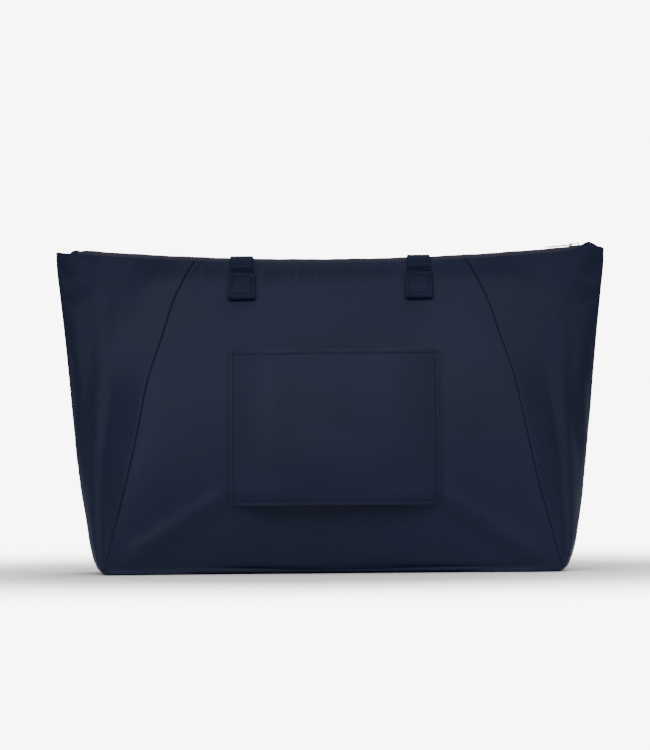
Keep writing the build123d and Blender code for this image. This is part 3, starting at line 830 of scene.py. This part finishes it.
SEAMS = (
    ("back", "left", BACK_AT[0]),
    ("back", "right", BACK_AT[1]),
    ("front", "right", FRONT_AT[0]),
    ("front", "left", FRONT_AT[1]),
)
for wall, side, column in SEAMS:
    drop = 2.3 * MM + 0.5 * MM * np.cos(np.linspace(-1.5, 1.5, 9))[None, :, None]
    rows, columns = np.arange(1.2, ROWS - 2.9, 0.7), column + np.linspace(-0.62, 0.62, 9)
    inner_tape(f"binding_{wall}_{side}", f"{wall}_{side}_binding", rows, columns, drop, 0.6 * MM)

# The stitches that show in the groove of each upright seam.
stitch_rows = []
for _, _, column in SEAMS:
    across = column + np.array([-0.1, 0.0, 0.1])
    points = read_grid(ring, np.linspace(0.6, ROWS - 0.6, 140), across, closed=True)
    outs = grid_normals(points)[:, 1]
    stitch_rows += rows_along(list(zip(points[:, 1] - outs * 0.62 * MM, outs)), 3.3 * MM)
folding_piece(
    stitches("seam_stitching", stitch_rows, length=2.3 * MM, radius=0.3 * MM), (THREAD,), "shell_nylon"
)

# Section of the seam allowance round the base, in millimetres: inset and rise.
ALLOWANCE = ((0.0, 0.1), (1.0, 0.9), (3.0, 1.15), (7.0, 1.15), (9.2, 0.9), (10.0, 0.1))
ALLOWANCE_CORNER = 8 * MM


def base_edge():
    """The bound seam allowance that runs round the inside of the base."""
    (x0, y0, z0), (x1, y1, _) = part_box("base_binding")
    loop = []
    for cx, cy, start in ((x1, y1, 0), (x0, y1, 90), (x0, y0, 180), (x1, y0, 270)):
        for turn in range(7):
            angle = math.radians(start + turn * 15)
            ox, oy = (c - math.copysign(ALLOWANCE_CORNER, c) for c in (cx, cy))
            loop.append((ox + ALLOWANCE_CORNER * math.cos(angle), oy + ALLOWANCE_CORNER * math.sin(angle)))
    loop = np.array(loop)
    centre = (loop.max(0) + loop.min(0)) / 2
    span = (loop.max(0) - loop.min(0)) / 2
    verts, uvs = [], []
    for inset, rise in ALLOWANCE:
        line = centre + (loop - centre) * (1 - inset * MM / span)
        verts += [(p[0], p[1], z0 + rise * MM) for p in line]
        uvs += [(inset * MM, run) for run in run_along(line)]
    count = len(loop)
    faces = [f[::-1] for f in grid_faces(len(ALLOWANCE), count, closed=True)]
    last = (len(ALLOWANCE) - 1) * count
    faces += [(k, (k + 1) % count, last + (k + 1) % count, last + k) for k in range(count)]
    obj = new_object("binding_base", verts, faces, uvs)
    folding_piece(obj, (BINDING_CLOTH,), "binding_tape", "base_binding")


base_edge()

# ------------------------------------------------------------------ top zip
COIL_LIFT = 2.2 * MM
ZIP_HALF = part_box("zip_tape_back")[1][0]
COIL_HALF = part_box("zip_coil_back")[1][0]
ZIP_END_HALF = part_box("zip_end_tabs")[1][1]
# A tape's section from the coil over its ridge and down inside the bag: across and lift, in millimetres.
TAPE_SECTION = (
    (1.75, 2.2), (2.8, 2.35), (4.1, 2.7), (5.0, 3.5), (5.9, 3.9),
    (6.8, 3.3), (7.5, 1.2), (8.0, -2.0), (8.15, -9.0),
)
TAPE_FLAT = 2.3
# The folded tape over an end of the zip: past the tapes' end and lift in millimetres, and its face.
ZIP_END = (
    (-1.4, 1.5, (0, 0, 1)),
    (0.6, 1.5, (0.2, 0, 1)),
    (2.6, 1.2, (0.6, 0, 0.8)),
    (4.2, 0.2, (1, 0, 0.4)),
    (5.2, -1.2, (1, 0, 0)),
    (5.6, -3.8, (1, 0, 0)),
    (5.6, -7.2, (1, 0, 0)),
)


def along_mouth(x, y, lift):
    """A point on the sagging line of the mouth."""
    angle = math.asin(x / ARC_RADIUS)
    radius = ARC_RADIUS - lift
    return (radius * math.sin(angle), y, ARC_CENTRE_Z - radius * math.cos(angle))


for word, side in BACK_FRONT:
    xs = np.arange(-ZIP_HALF, ZIP_HALF + 1e-6, 3.0 * MM)
    inset = ZIP_HALF - np.abs(xs)
    ripple = 0.12 * np.sin(xs / (7.5 * MM) + side) + 0.1 * np.sin(xs / (3.1 * MM))
    ridge = ease(inset / (9 * MM))
    narrow = 1 - 0.3 * ease(1 - inset / (34 * MM))
    grid = []
    for y, lift in TAPE_SECTION:
        lifts = min(lift, TAPE_FLAT) + max(lift - TAPE_FLAT, 0) * ridge + ripple
        grid.append([along_mouth(x, side * y * n * MM, v * MM) for x, n, v in zip(xs, narrow, lifts)])
    tape = sheet_object(f"mouth_tape_{word}", np.array(grid)[::side], 0.55 * MM)
    folding_piece(tape, (TAPE_CLOTH,), "zip_tape", f"zip_tape_{word}")

# The coil of a zip of size 1.
COIL_PITCH, COIL_WIRE = 1.25 * MM, 0.3 * MM
COIL_ACROSS, COIL_REACH, COIL_RISE = 1.22 * MM, 1.0 * MM, 0.66 * MM
COIL_STEPS, COIL_SIDES = 10, 5


def coil_strip(name, place, half, side, size, body, *nodes):
    """One row of zip teeth: a flattened nylon coil. place turns (along, across, up) into a point."""
    pitch = COIL_PITCH * size
    centres, middle = [], []
    for k in range(int(2 * half / pitch) * COIL_STEPS + 1):
        angle = 2 * math.pi * k / COIL_STEPS
        along = -half + pitch * k / COIL_STEPS
        across = side * (COIL_ACROSS - COIL_REACH * math.cos(angle)) * size
        late = 0.45 * pitch if side > 0 else 0
        centres.append(place(min(along + late, half), across, COIL_RISE * size * math.sin(angle)))
        middle.append(place(min(along, half), side * COIL_ACROSS * size, 0.0))
    centres = np.array(centres)
    tangents = unit(np.gradient(centres, axis=0))
    first = centres - np.array(middle)
    first = unit(first - tangents * np.sum(first * tangents, axis=1, keepdims=True))
    second = np.cross(tangents, first)
    angles = np.arange(COIL_SIDES) * 2 * math.pi / COIL_SIDES
    rings = [centres + (first * math.cos(a) + second * math.sin(a)) * COIL_WIRE * size for a in angles]
    verts = np.stack(rings, axis=1).reshape(-1, 3)
    obj = new_object(name, verts, tube_faces(len(centres), COIL_SIDES))
    riding_piece(obj, body, (COIL,), "zip_coil", *nodes)


def mouth_place(x, y, up):
    return along_mouth(x, y, COIL_LIFT + up)


for word, side in BACK_FRONT:
    coil_strip(f"mouth_coil_{word}", mouth_place, COIL_HALF, side, 1.0, "bag", f"zip_coil_{word}")

for word, side in LEFT_RIGHT:
    line = [along_mouth(side * (ZIP_HALF + run * MM), 0, lift * MM) for run, lift, _ in ZIP_END]
    outs = [(side * x, y, z) for _, _, (x, y, z) in ZIP_END]
    end = ribbon(f"zip_end_{word}", line, outs, 2 * ZIP_END_HALF, 3.6 * MM)
    riding_piece(end, "bag", (TAPE_CLOTH,), "zip_tape", *(["zip_end_tabs"] if side < 0 else []))


# ------------------------------------------------------------------ the walls' outer faces
def wall_reader(at, side):
    """A function that gives a wall's outer face and its outward direction at a place."""
    rows, columns = np.linspace(0, ROWS, 3 * ROWS + 1), np.linspace(*at, 3 * WALL_COLUMNS + 1)
    grid = read_grid(ring, rows, columns, closed=True)
    tree = BVHTree.FromPolygons([tuple(v) for v in grid.reshape(-1, 3)], grid_faces(*grid.shape[:2]))

    def wall(x, z):
        hit, normal, _, _ = tree.ray_cast(Vector((x, side * 0.3, z)), Vector((0, -side, 0)))
        return np.array(hit), np.array(normal if normal.y * side > 0 else -normal)

    return wall


wall_at = wall_reader(BACK_AT, -1)
front_at = wall_reader(FRONT_AT, 1)

# ------------------------------------------------------------------ trolley sleeve
(SLEEVE_LEFT, _, SLEEVE_LOW), (SLEEVE_RIGHT, _, SLEEVE_HIGH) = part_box("trolley_sleeve")
SLEEVE_X, SLEEVE_HALF = (SLEEVE_LEFT + SLEEVE_RIGHT) / 2, (SLEEVE_RIGHT - SLEEVE_LEFT) / 2
SLEEVE_TALL = SLEEVE_HIGH - SLEEVE_LOW
SLEEVE_SEWN = 91.5  # half the width between its sewn sides, in millimetres
SLEEVE_RISE = 15.6
# Relief of the hems and of the sewn sides, in millimetres: height, distance from the edge, reach.
TOP_RELIEF = ((-0.80, 3.4, 0.7), (0.60, 1.3, 1.3))
LOW_RELIEF = ((0.75, 1.7, 1.6), (-0.75, 4.4, 0.8))
SIDE_RELIEF = ((-0.35, 2.0, 0.7), (0.20, 0.8, 0.6))


def sleeve_points(rows, columns):
    """The sleeve stands off the wall between its two sewn sides, as over a pair of tubes."""
    points = np.zeros((len(rows), len(columns), 3))
    for r, v in enumerate(rows):
        z = SLEEVE_LOW + v * SLEEVE_TALL
        left, right = wall_at(SLEEVE_X - SLEEVE_HALF, z)[0], wall_at(SLEEVE_X + SLEEVE_HALF, z)[0]
        for c, u in enumerate(columns):
            x = SLEEVE_X + u * SLEEVE_HALF
            behind = wall_at(x, z)[0][1]
            chord = left[1] + (right[1] - left[1]) * (u + 1) / 2
            reach = abs(u) * SLEEVE_HALF / MM
            rise = math.sin(math.pi / 2 * float(np.clip((SLEEVE_SEWN - reach) / 46, 0, 1)))
            tight = 0.93 + 0.07 * math.cos(math.pi * (v - 0.5))
            sag = -0.6 * math.cos(math.pi * u / 2) * (2 * v - 1) ** 2
            crease = 0.35 * math.sin(reach / 11 + 3.2 * v) * math.sin(math.pi * v) * rise
            off = (0.9 + SLEEVE_RISE * rise * tight + crease + sag * rise) * MM
            near = float(ease((SLEEVE_SEWN - reach) / 12))
            y = (behind * (1 - near) + min(behind, chord) * near) - off
            points[r, c] = (x, y, z + 0.72 * MM * math.sin(math.pi * (u + 1) / 2) * (1 - v))
    return points


def relief(distance, shapes):
    return sum(height * hump(distance / MM, at, reach) for height, at, reach in shapes)


sleeve_rows = steps(0, 1, 0.022, (0.004, 0.012, 0.028, 0.04))
sleeve_columns = steps(-1, 1, 0.022, (0.004, 0.012, 0.03, 0.05))
sleeve_skin = sleeve_points(sleeve_rows, sleeve_columns)
sleeve_out = grid_normals(sleeve_skin)
sleeve_out *= -np.sign(sleeve_out[:, :, 1:2])
hems = relief((1 - sleeve_rows) * SLEEVE_TALL, TOP_RELIEF) + relief(sleeve_rows * SLEEVE_TALL, LOW_RELIEF)
edges = relief((1 - np.abs(sleeve_columns)) * SLEEVE_HALF, SIDE_RELIEF)
sleeve_skin = sleeve_skin + sleeve_out * (hems[:, None] + edges[None, :])[:, :, None] * MM
sleeve = folding_piece(
    sheet_object("sleeve_cloth", sleeve_skin, SKIN, lining=True), *SHELL_LOOK, "trolley_sleeve"
)


def sleeve_place(x, z):
    """A point on the sleeve's face and its outward direction."""
    r = float(np.interp((z - SLEEVE_LOW) / SLEEVE_TALL, sleeve_rows, np.arange(len(sleeve_rows))))
    c = float(np.interp((x - SLEEVE_X) / SLEEVE_HALF, sleeve_columns, np.arange(len(sleeve_columns))))
    return read_grid(sleeve_skin, [r], [c])[0, 0], read_grid(sleeve_out, [r], [c])[0, 0]


stitch_rows = []
for side in (-1, 1):
    for inset in (1.9 * MM, 5.2 * MM):
        x = SLEEVE_X + side * (SLEEVE_HALF - inset)
        line = [sleeve_place(x, z) for z in np.linspace(SLEEVE_LOW + 1 * MM, SLEEVE_HIGH - 1 * MM, 60)]
        stitch_rows += rows_along(line, 2.85 * MM)
for z in (SLEEVE_HIGH - 3.4 * MM, SLEEVE_LOW + 4.4 * MM):
    line = [sleeve_place(x, z) for x in np.linspace(SLEEVE_LEFT + 6 * MM, SLEEVE_RIGHT - 6 * MM, 70)]
    stitch_rows += rows_along(line, 2.85 * MM)
sleeve_thread = folding_piece(stitches("sleeve_stitching", stitch_rows), (THREAD,), "shell_nylon")

# ------------------------------------------------------------------ handle tabs
STRAP_WIDTH, STRAP = 20.5 * MM, 1.35 * MM
TAB_LOW, TAB_HIGH = (corner[2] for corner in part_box("back_handle_tabs"))
LEG_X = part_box("back_handle_turns")[1][0] - STRAP_WIDTH / 2
TAB_WIDTH = 2 * (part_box("back_handle_tabs")[1][0] - LEG_X)
TAB_NEAR = 0.75 * MM  # from the wall to the middle of a tab's back layer
TAB_GAP, TAB_PARTED = 2.15 * MM, 1.15 * MM


def parted(z):
    """How much further apart a tab's two layers are just above its fold."""
    return TAB_PARTED * float(ease((TAB_LOW + 11 * MM - z) / (10 * MM)))


def tab(name, x, wall):
    """A folded tail of webbing: its back layer on the wall, a round fold below and its face layer."""
    heights = np.linspace(TAB_HIGH, TAB_LOW + 2.2 * MM, 9)
    places = [(*wall(x, z), z) for z in heights]
    pairs = [(point + out * TAB_NEAR, -out) for point, out, _ in places]
    point, out = wall(x, TAB_LOW + 1.2 * MM)
    down = np.cross(out, (1, 0, 0))
    down *= -np.sign(down[2])
    fold = TAB_GAP + parted(TAB_LOW)
    centre = point + out * (TAB_NEAR + fold / 2)
    for angle in np.arange(1, 8) * math.pi / 8:
        middle = centre - out * math.cos(angle) * fold / 2 + down * math.sin(angle) * fold * 0.55
        pairs.append((middle, -out * math.cos(angle) + down * math.sin(angle)))
    pairs += [(point + out * (TAB_NEAR + TAB_GAP + parted(z)), out) for point, out, z in places[::-1]]
    return ribbon(name, *zip(*pairs), TAB_WIDTH, 1.0 * MM)


for word, wall in (("back", wall_at), ("front", front_at)):
    for side_word, side in LEFT_RIGHT:
        piece = tab(f"{word}_tab_{side_word}", side * LEG_X, wall)
        folding_piece(piece, (WEBBING,), "webbing", *([f"{word}_handle_tabs"] if side < 0 else []))


def tab_stitching(word, wall):
    """A sewn box on each tab."""
    rows = []
    half = TAB_WIDTH / 2 - 2.6 * MM
    low, high = TAB_LOW + 4.2 * MM, TAB_HIGH - 1.6 * MM
    for x in (-LEG_X, LEG_X):
        corners = [(x - half, low), (x + half, low), (x + half, high), (x - half, high), (x - half, low)]
        for (ax, az), (bx, bz) in zip(corners, corners[1:]):
            line = []
            for t in np.linspace(0, 1, 12):
                z = az + (bz - az) * t
                point, out = wall(ax + (bx - ax) * t, z)
                line.append((point + out * (3.42 * MM + parted(z)), out))
            rows += rows_along(line, 2.6 * MM)
    folding_piece(stitches(f"{word}_tab_stitching", rows), (THREAD,), "webbing")


tab_stitching("back", wall_at)
tab_stitching("front", front_at)

# ------------------------------------------------------------------ handles
# Each handle is one length of webbing: up from its two tabs, over the mouth or its own tab, and
# down the front wall. Its legs turn edge-on before the round end of the loop.
WALL_TOP = (9 * MM, 276 * MM)
WALL_SLOPE = math.radians(25.5)
STRAIGHT_RUN, BELLY_RADIUS = 112 * MM, 300 * MM
LEG_START = 14 * MM
RIGHT = np.array([1.0, 0, 0])


def down_the_wall(run, lift):
    """A point a distance down the front wall and lifted off it, with the directions there."""
    straight = min(run, STRAIGHT_RUN)
    slope = WALL_SLOPE - (run - straight) / BELLY_RADIUS
    sine, cosine = math.sin(WALL_SLOPE), math.cos(WALL_SLOPE)
    y = WALL_TOP[0] + straight * sine + BELLY_RADIUS * (math.cos(slope) - cosine)
    z = WALL_TOP[1] - straight * cosine - BELLY_RADIUS * (sine - math.sin(slope))
    out = np.array([0, math.cos(slope), math.sin(slope)])
    down = np.array([0, math.sin(slope), -math.cos(slope)])
    return np.array([0, y, z]) + out * lift, down, out


def half_loop(twist_from, twist_to, loop_half, flat_lift, edge_lift):
    """Centres and faces of the webbing from the top of the right leg to the middle of the loop.
    It lies flat as far as twist_from and stands on its edge from twist_to, both down the wall."""
    line = []
    for run in np.arange(LEG_START, twist_from, 4 * MM):
        point, down, out = down_the_wall(run, flat_lift)
        line.append((point + RIGHT * LEG_X, out))
    for share in np.linspace(0, 1, 22):
        turn = share * share * (3 - 2 * share)
        lift = flat_lift + (edge_lift - flat_lift) * min(1.0, 1.6 * turn)
        point, down, out = down_the_wall(twist_from + (twist_to - twist_from) * share, lift)
        angle = turn * math.pi / 2
        at = point + RIGHT * (LEG_X + (loop_half - LEG_X) * turn)
        line.append((at, out * math.cos(angle) - RIGHT * math.sin(angle)))
    for angle in np.linspace(0, math.pi / 2, 20)[1:]:
        point, down, out = down_the_wall(twist_to + loop_half * math.sin(angle), edge_lift)
        inward = -(RIGHT * math.cos(angle) + down * math.sin(angle))
        line.append((point + RIGHT * (loop_half * math.cos(angle)), inward))
    return line


def rounded_path(corners, radius, spacing=0.6 * MM):
    """Points along a bent line in the YZ plane with rounded corners, each with its left-hand direction."""
    corners = [np.array(c, float) for c in corners]
    points = [corners[0]]
    for before, at, after in zip(corners, corners[1:], corners[2:]):
        a, b = unit(before - at), unit(after - at)
        half = math.acos(float(np.clip(a.dot(b), -1, 1))) / 2
        longest = 0.48 * min(np.linalg.norm(before - at), np.linalg.norm(after - at))
        reach = min(radius / math.tan(half), longest)
        for t in np.linspace(0, 1, 9):
            points.append((at + a * reach) * (1 - t) ** 2 + at * 2 * t * (1 - t) + (at + b * reach) * t**2)
    points = np.array(points + [corners[-1]])
    lengths = run_along(points)
    places = np.linspace(0, lengths[-1], max(8, int(lengths[-1] / spacing)))
    route = np.stack([np.interp(places, lengths, points[:, k]) for k in range(2)], axis=1)
    tangents = unit(np.gradient(route, axis=0))
    return [(np.array([0, y, z]), np.array([0, -tz, ty])) for (y, z), (ty, tz) in zip(route, tangents)]


def strap(name, pairs):
    """Webbing along (point, face) pairs. It has no sudden bends, so both are evened out first."""
    points, outs = (np.array(values) for values in zip(*pairs))
    kernel = np.array([1, 4, 6, 4, 1]) / 16
    for _ in range(2):
        for k in range(3):
            points[2:-2, k] = np.convolve(points[:, k], kernel, mode="valid")
            outs[2:-2, k] = np.convolve(outs[:, k], kernel, mode="valid")
    return ribbon(name, points, outs, STRAP_WIDTH, STRAP)


def loop_piece(name, upper, loop, nodes):
    """The webbing of one loop, from the top of the right leg round to the top of the left one."""
    half = [(p + RIGHT * LEG_X, n) for p, n in upper] + loop
    mirror = np.array([-1, 1, 1])
    piece = strap(name, half + [(p * mirror, n * mirror) for p, n in half[::-1][1:]])
    dress(piece, (WEBBING,), "webbing", nodes)
    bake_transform(piece)


TAIL = 1.83 * MM  # from the wall to the middle of the webbing inside a tab
MOUTH_TOP = 281.4 * MM


def tail_points(wall, low, high):
    """The end of the webbing where it lies between the two layers of its tab."""
    places = [wall(LEG_X, z) for z in np.linspace(low, high, 6)]
    return [tuple((point + out * TAIL)[1:]) for point, out in places]


# The back handle goes over the mouth and starts down the front wall outside the front one.
BACK_FLAT, BACK_EDGE = 8.4 * MM, 12.5 * MM
_, start_y, start_z = down_the_wall(10 * MM, BACK_FLAT)[0]
back_tail = tail_points(wall_at, TAB_LOW + 7 * MM, TAB_HIGH)
turns = [(back_tail[-1][0] + 3.1 * MM, MOUTH_TOP), (start_y - 4.2 * MM, MOUTH_TOP), (start_y, start_z)]
over_pairs = rounded_path(back_tail + turns, 4.0 * MM)
split = min(
    range(len(over_pairs)),
    key=lambda i: abs(over_pairs[i][0][1] - 1.5 * MM) + 10 * (over_pairs[i][0][2] < MOUTH_TOP - 3 * MM),
)
for side_word, side in LEFT_RIGHT:
    pairs = [(p + RIGHT * side * LEG_X, n) for p, n in over_pairs[: split + 2]]
    piece = strap(f"back_strap_end_{side_word}", pairs)
    folding_piece(piece, (WEBBING,), "webbing", *(["back_handle_turns"] if side > 0 else []))

loop_piece(
    "back_loop",
    over_pairs[split:],
    half_loop(52 * MM, 104 * MM, 62 * MM, BACK_FLAT, BACK_EDGE),
    ("back_handle",),
)

# The front handle turns over the top of its own tabs.
FRONT_FLAT, FRONT_EDGE = 5.2 * MM, 10 * MM
FRONT_TURNS = [(12.7 * MM, 278.2 * MM), (14.94 * MM, 278.2 * MM), (17.87 * MM, 269.48 * MM)]
front_tail = tail_points(front_at, TAB_HIGH - 1.6 * MM, TAB_HIGH)
loop_piece(
    "front_loop",
    rounded_path(front_tail + FRONT_TURNS, 2.0 * MM),
    half_loop(96 * MM, 146 * MM, 76 * MM, FRONT_FLAT, FRONT_EDGE),
    ("front_handle", "front_handle_turns"),
)

# A bar of close zigzag stitches across each leg of the back handle just above its tab.
stitch_rows = []
for side in (-1, 1):
    for height in (TAB_HIGH + 1.9 * MM, TAB_HIGH + 4.5 * MM):
        point, out = min(over_pairs, key=lambda pair: abs(pair[0][2] - height) + 10 * (pair[0][1] > 0))
        places = np.arange(-STRAP_WIDTH / 2 + 1.2 * MM, STRAP_WIDTH / 2 - 1.0 * MM, 0.75 * MM)
        for step, across in enumerate(places):
            at = point + out * (STRAP / 2 + 0.05 * MM) + RIGHT * (side * LEG_X + across)
            stitch_rows.append((at, np.array([0.5 if step % 2 else -0.5, 0, 1.0]), out))
folding_piece(
    stitches("back_bar_stitching", stitch_rows, length=2.4 * MM, radius=0.2 * MM), (THREAD,), "webbing"
)

# ------------------------------------------------------------------ hanging zip pocket
(POCKET_LEFT, _, POCKET_LOW), (POCKET_RIGHT, POCKET_FACE_Y, POCKET_HIGH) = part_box("pocket_front")
POCKET_HALF = (POCKET_RIGHT - POCKET_LEFT) / 2
(_, POCKET_BACK_Y, _), (_, POCKET_SEAM_Y, _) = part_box("pocket_back")
COIL_LOW_CORNER, COIL_HIGH_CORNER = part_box("pocket_zip_coils")
SLOT_LOW, SLOT_HIGH = COIL_LOW_CORNER[2] - 2.0 * MM, COIL_HIGH_CORNER[2] + 2.0 * MM
SLOT_HALF = COIL_HIGH_CORNER[0]
POCKET_ZIP_Y, POCKET_ZIP_Z = ((COIL_LOW_CORNER[k] + COIL_HIGH_CORNER[k]) / 2 for k in (1, 2))
POCKET_TAPE = ((1.3, 0.0), (2.4, 0.15), (4.4, -0.1), (7.8, -0.3))


def pocket_sheet(name, node, y_edge, y_middle, slot):
    """One lining sheet of the pocket, sewn round its edge and a little slack between."""
    xs = np.array(sorted(set(np.linspace(-POCKET_HALF, POCKET_HALF, 61)) | {-SLOT_HALF, SLOT_HALF}))
    zs = np.array(sorted(set(np.linspace(POCKET_LOW, POCKET_HIGH, 33)) | {SLOT_LOW, SLOT_HIGH}))
    x, z = np.meshgrid(xs, zs)
    edge = np.minimum(POCKET_HALF - np.abs(x), np.minimum(z - POCKET_LOW, (POCKET_HIGH - z) * 2)) / MM
    fill = ease(edge / 22)
    wrinkle = 0.25 * np.sin(x / (13 * MM)) * np.sin(z / (19 * MM)) * fill
    y = y_edge + (y_middle - y_edge) * fill + wrinkle * MM
    keep = None
    if slot:
        near_slot = np.clip(1 - np.abs(z - POCKET_ZIP_Z) / (10 * MM), 0, 1)
        y = y * (1 - near_slot) + y_middle * near_slot
        mid_x, mid_z = (xs[1:] + xs[:-1])[None, :] / 2, (zs[1:] + zs[:-1])[:, None] / 2
        keep = ~((np.abs(mid_x) < SLOT_HALF) & (mid_z > SLOT_LOW) & (mid_z < SLOT_HIGH))
    obj = sheet_object(name, np.stack([x, y, z], axis=2), 0.4 * MM, outward=-1 if slot else 1, keep=keep)
    riding_piece(obj, "back_wall", (LINING_NYLON,), "lining_nylon", node)


BACK_EDGE_Y, FACE_EDGE_Y = POCKET_SEAM_Y - 0.2 * MM, POCKET_SEAM_Y + 0.6 * MM
pocket_sheet("pocket_back_cloth", "pocket_back", BACK_EDGE_Y, POCKET_BACK_Y + 0.1 * MM, False)
pocket_sheet("pocket_face_cloth", "pocket_front", FACE_EDGE_Y, POCKET_FACE_Y - 0.1 * MM, True)


def pocket_place(x, y, up):
    return (x, POCKET_ZIP_Y + up, POCKET_ZIP_Z + y)


for word, side in (("low", -1), ("high", 1)):
    xs = np.linspace(-SLOT_HALF - 3 * MM, SLOT_HALF + 3 * MM, 60)
    grid = np.array([[pocket_place(x, side * off * MM, lift * MM) for x in xs] for off, lift in POCKET_TAPE])
    tape = sheet_object(f"pocket_tape_{word}", grid, 0.45 * MM, outward=-side)
    riding_piece(tape, "back_wall", (TAPE_CLOTH,), "zip_tape", *(["pocket_zip_tapes"] if side < 0 else []))
for word, side in (("low", -1), ("high", 1)):
    nodes = ["pocket_zip_coils"] if side > 0 else []
    coil_strip(f"pocket_coil_{word}", pocket_place, SLOT_HALF - 1 * MM, side, 0.7, "back_wall", *nodes)

# Stitches round the pocket's slot.
STITCH_Y = POCKET_FACE_Y + 0.02 * MM
STITCH_HALF = SLOT_HALF + 1.6 * MM
STITCH_LOW, STITCH_HIGH = SLOT_LOW - 1.4 * MM, SLOT_HIGH + 1.4 * MM
TOWARDS_FRONT = np.array([0, 1, 0])
stitch_rows = []
for z in (STITCH_LOW, STITCH_HIGH):
    xs = np.linspace(-STITCH_HALF, STITCH_HALF, 40)
    stitch_rows += rows_along([((x, STITCH_Y, z), TOWARDS_FRONT) for x in xs], 2.6 * MM)
for x in (-STITCH_HALF, STITCH_HALF):
    zs = np.linspace(STITCH_LOW, STITCH_HIGH, 6)
    stitch_rows += rows_along([((x, STITCH_Y, z), TOWARDS_FRONT) for z in zs], 2.2 * MM)
riding_piece(
    stitches("pocket_stitching", stitch_rows, radius=0.2 * MM), "back_wall", (THREAD,), "lining_nylon"
)

# ------------------------------------------------------------------ metal
for node in ("zip_slider", "zip_pull", "pocket_zip_slider", "pocket_zip_pull"):
    slots = frame["nodes"][node].material_slots
    if not slots:
        frame["nodes"][node].data.materials.append(METAL)
    for material_slot in slots:
        material_slot.material = METAL
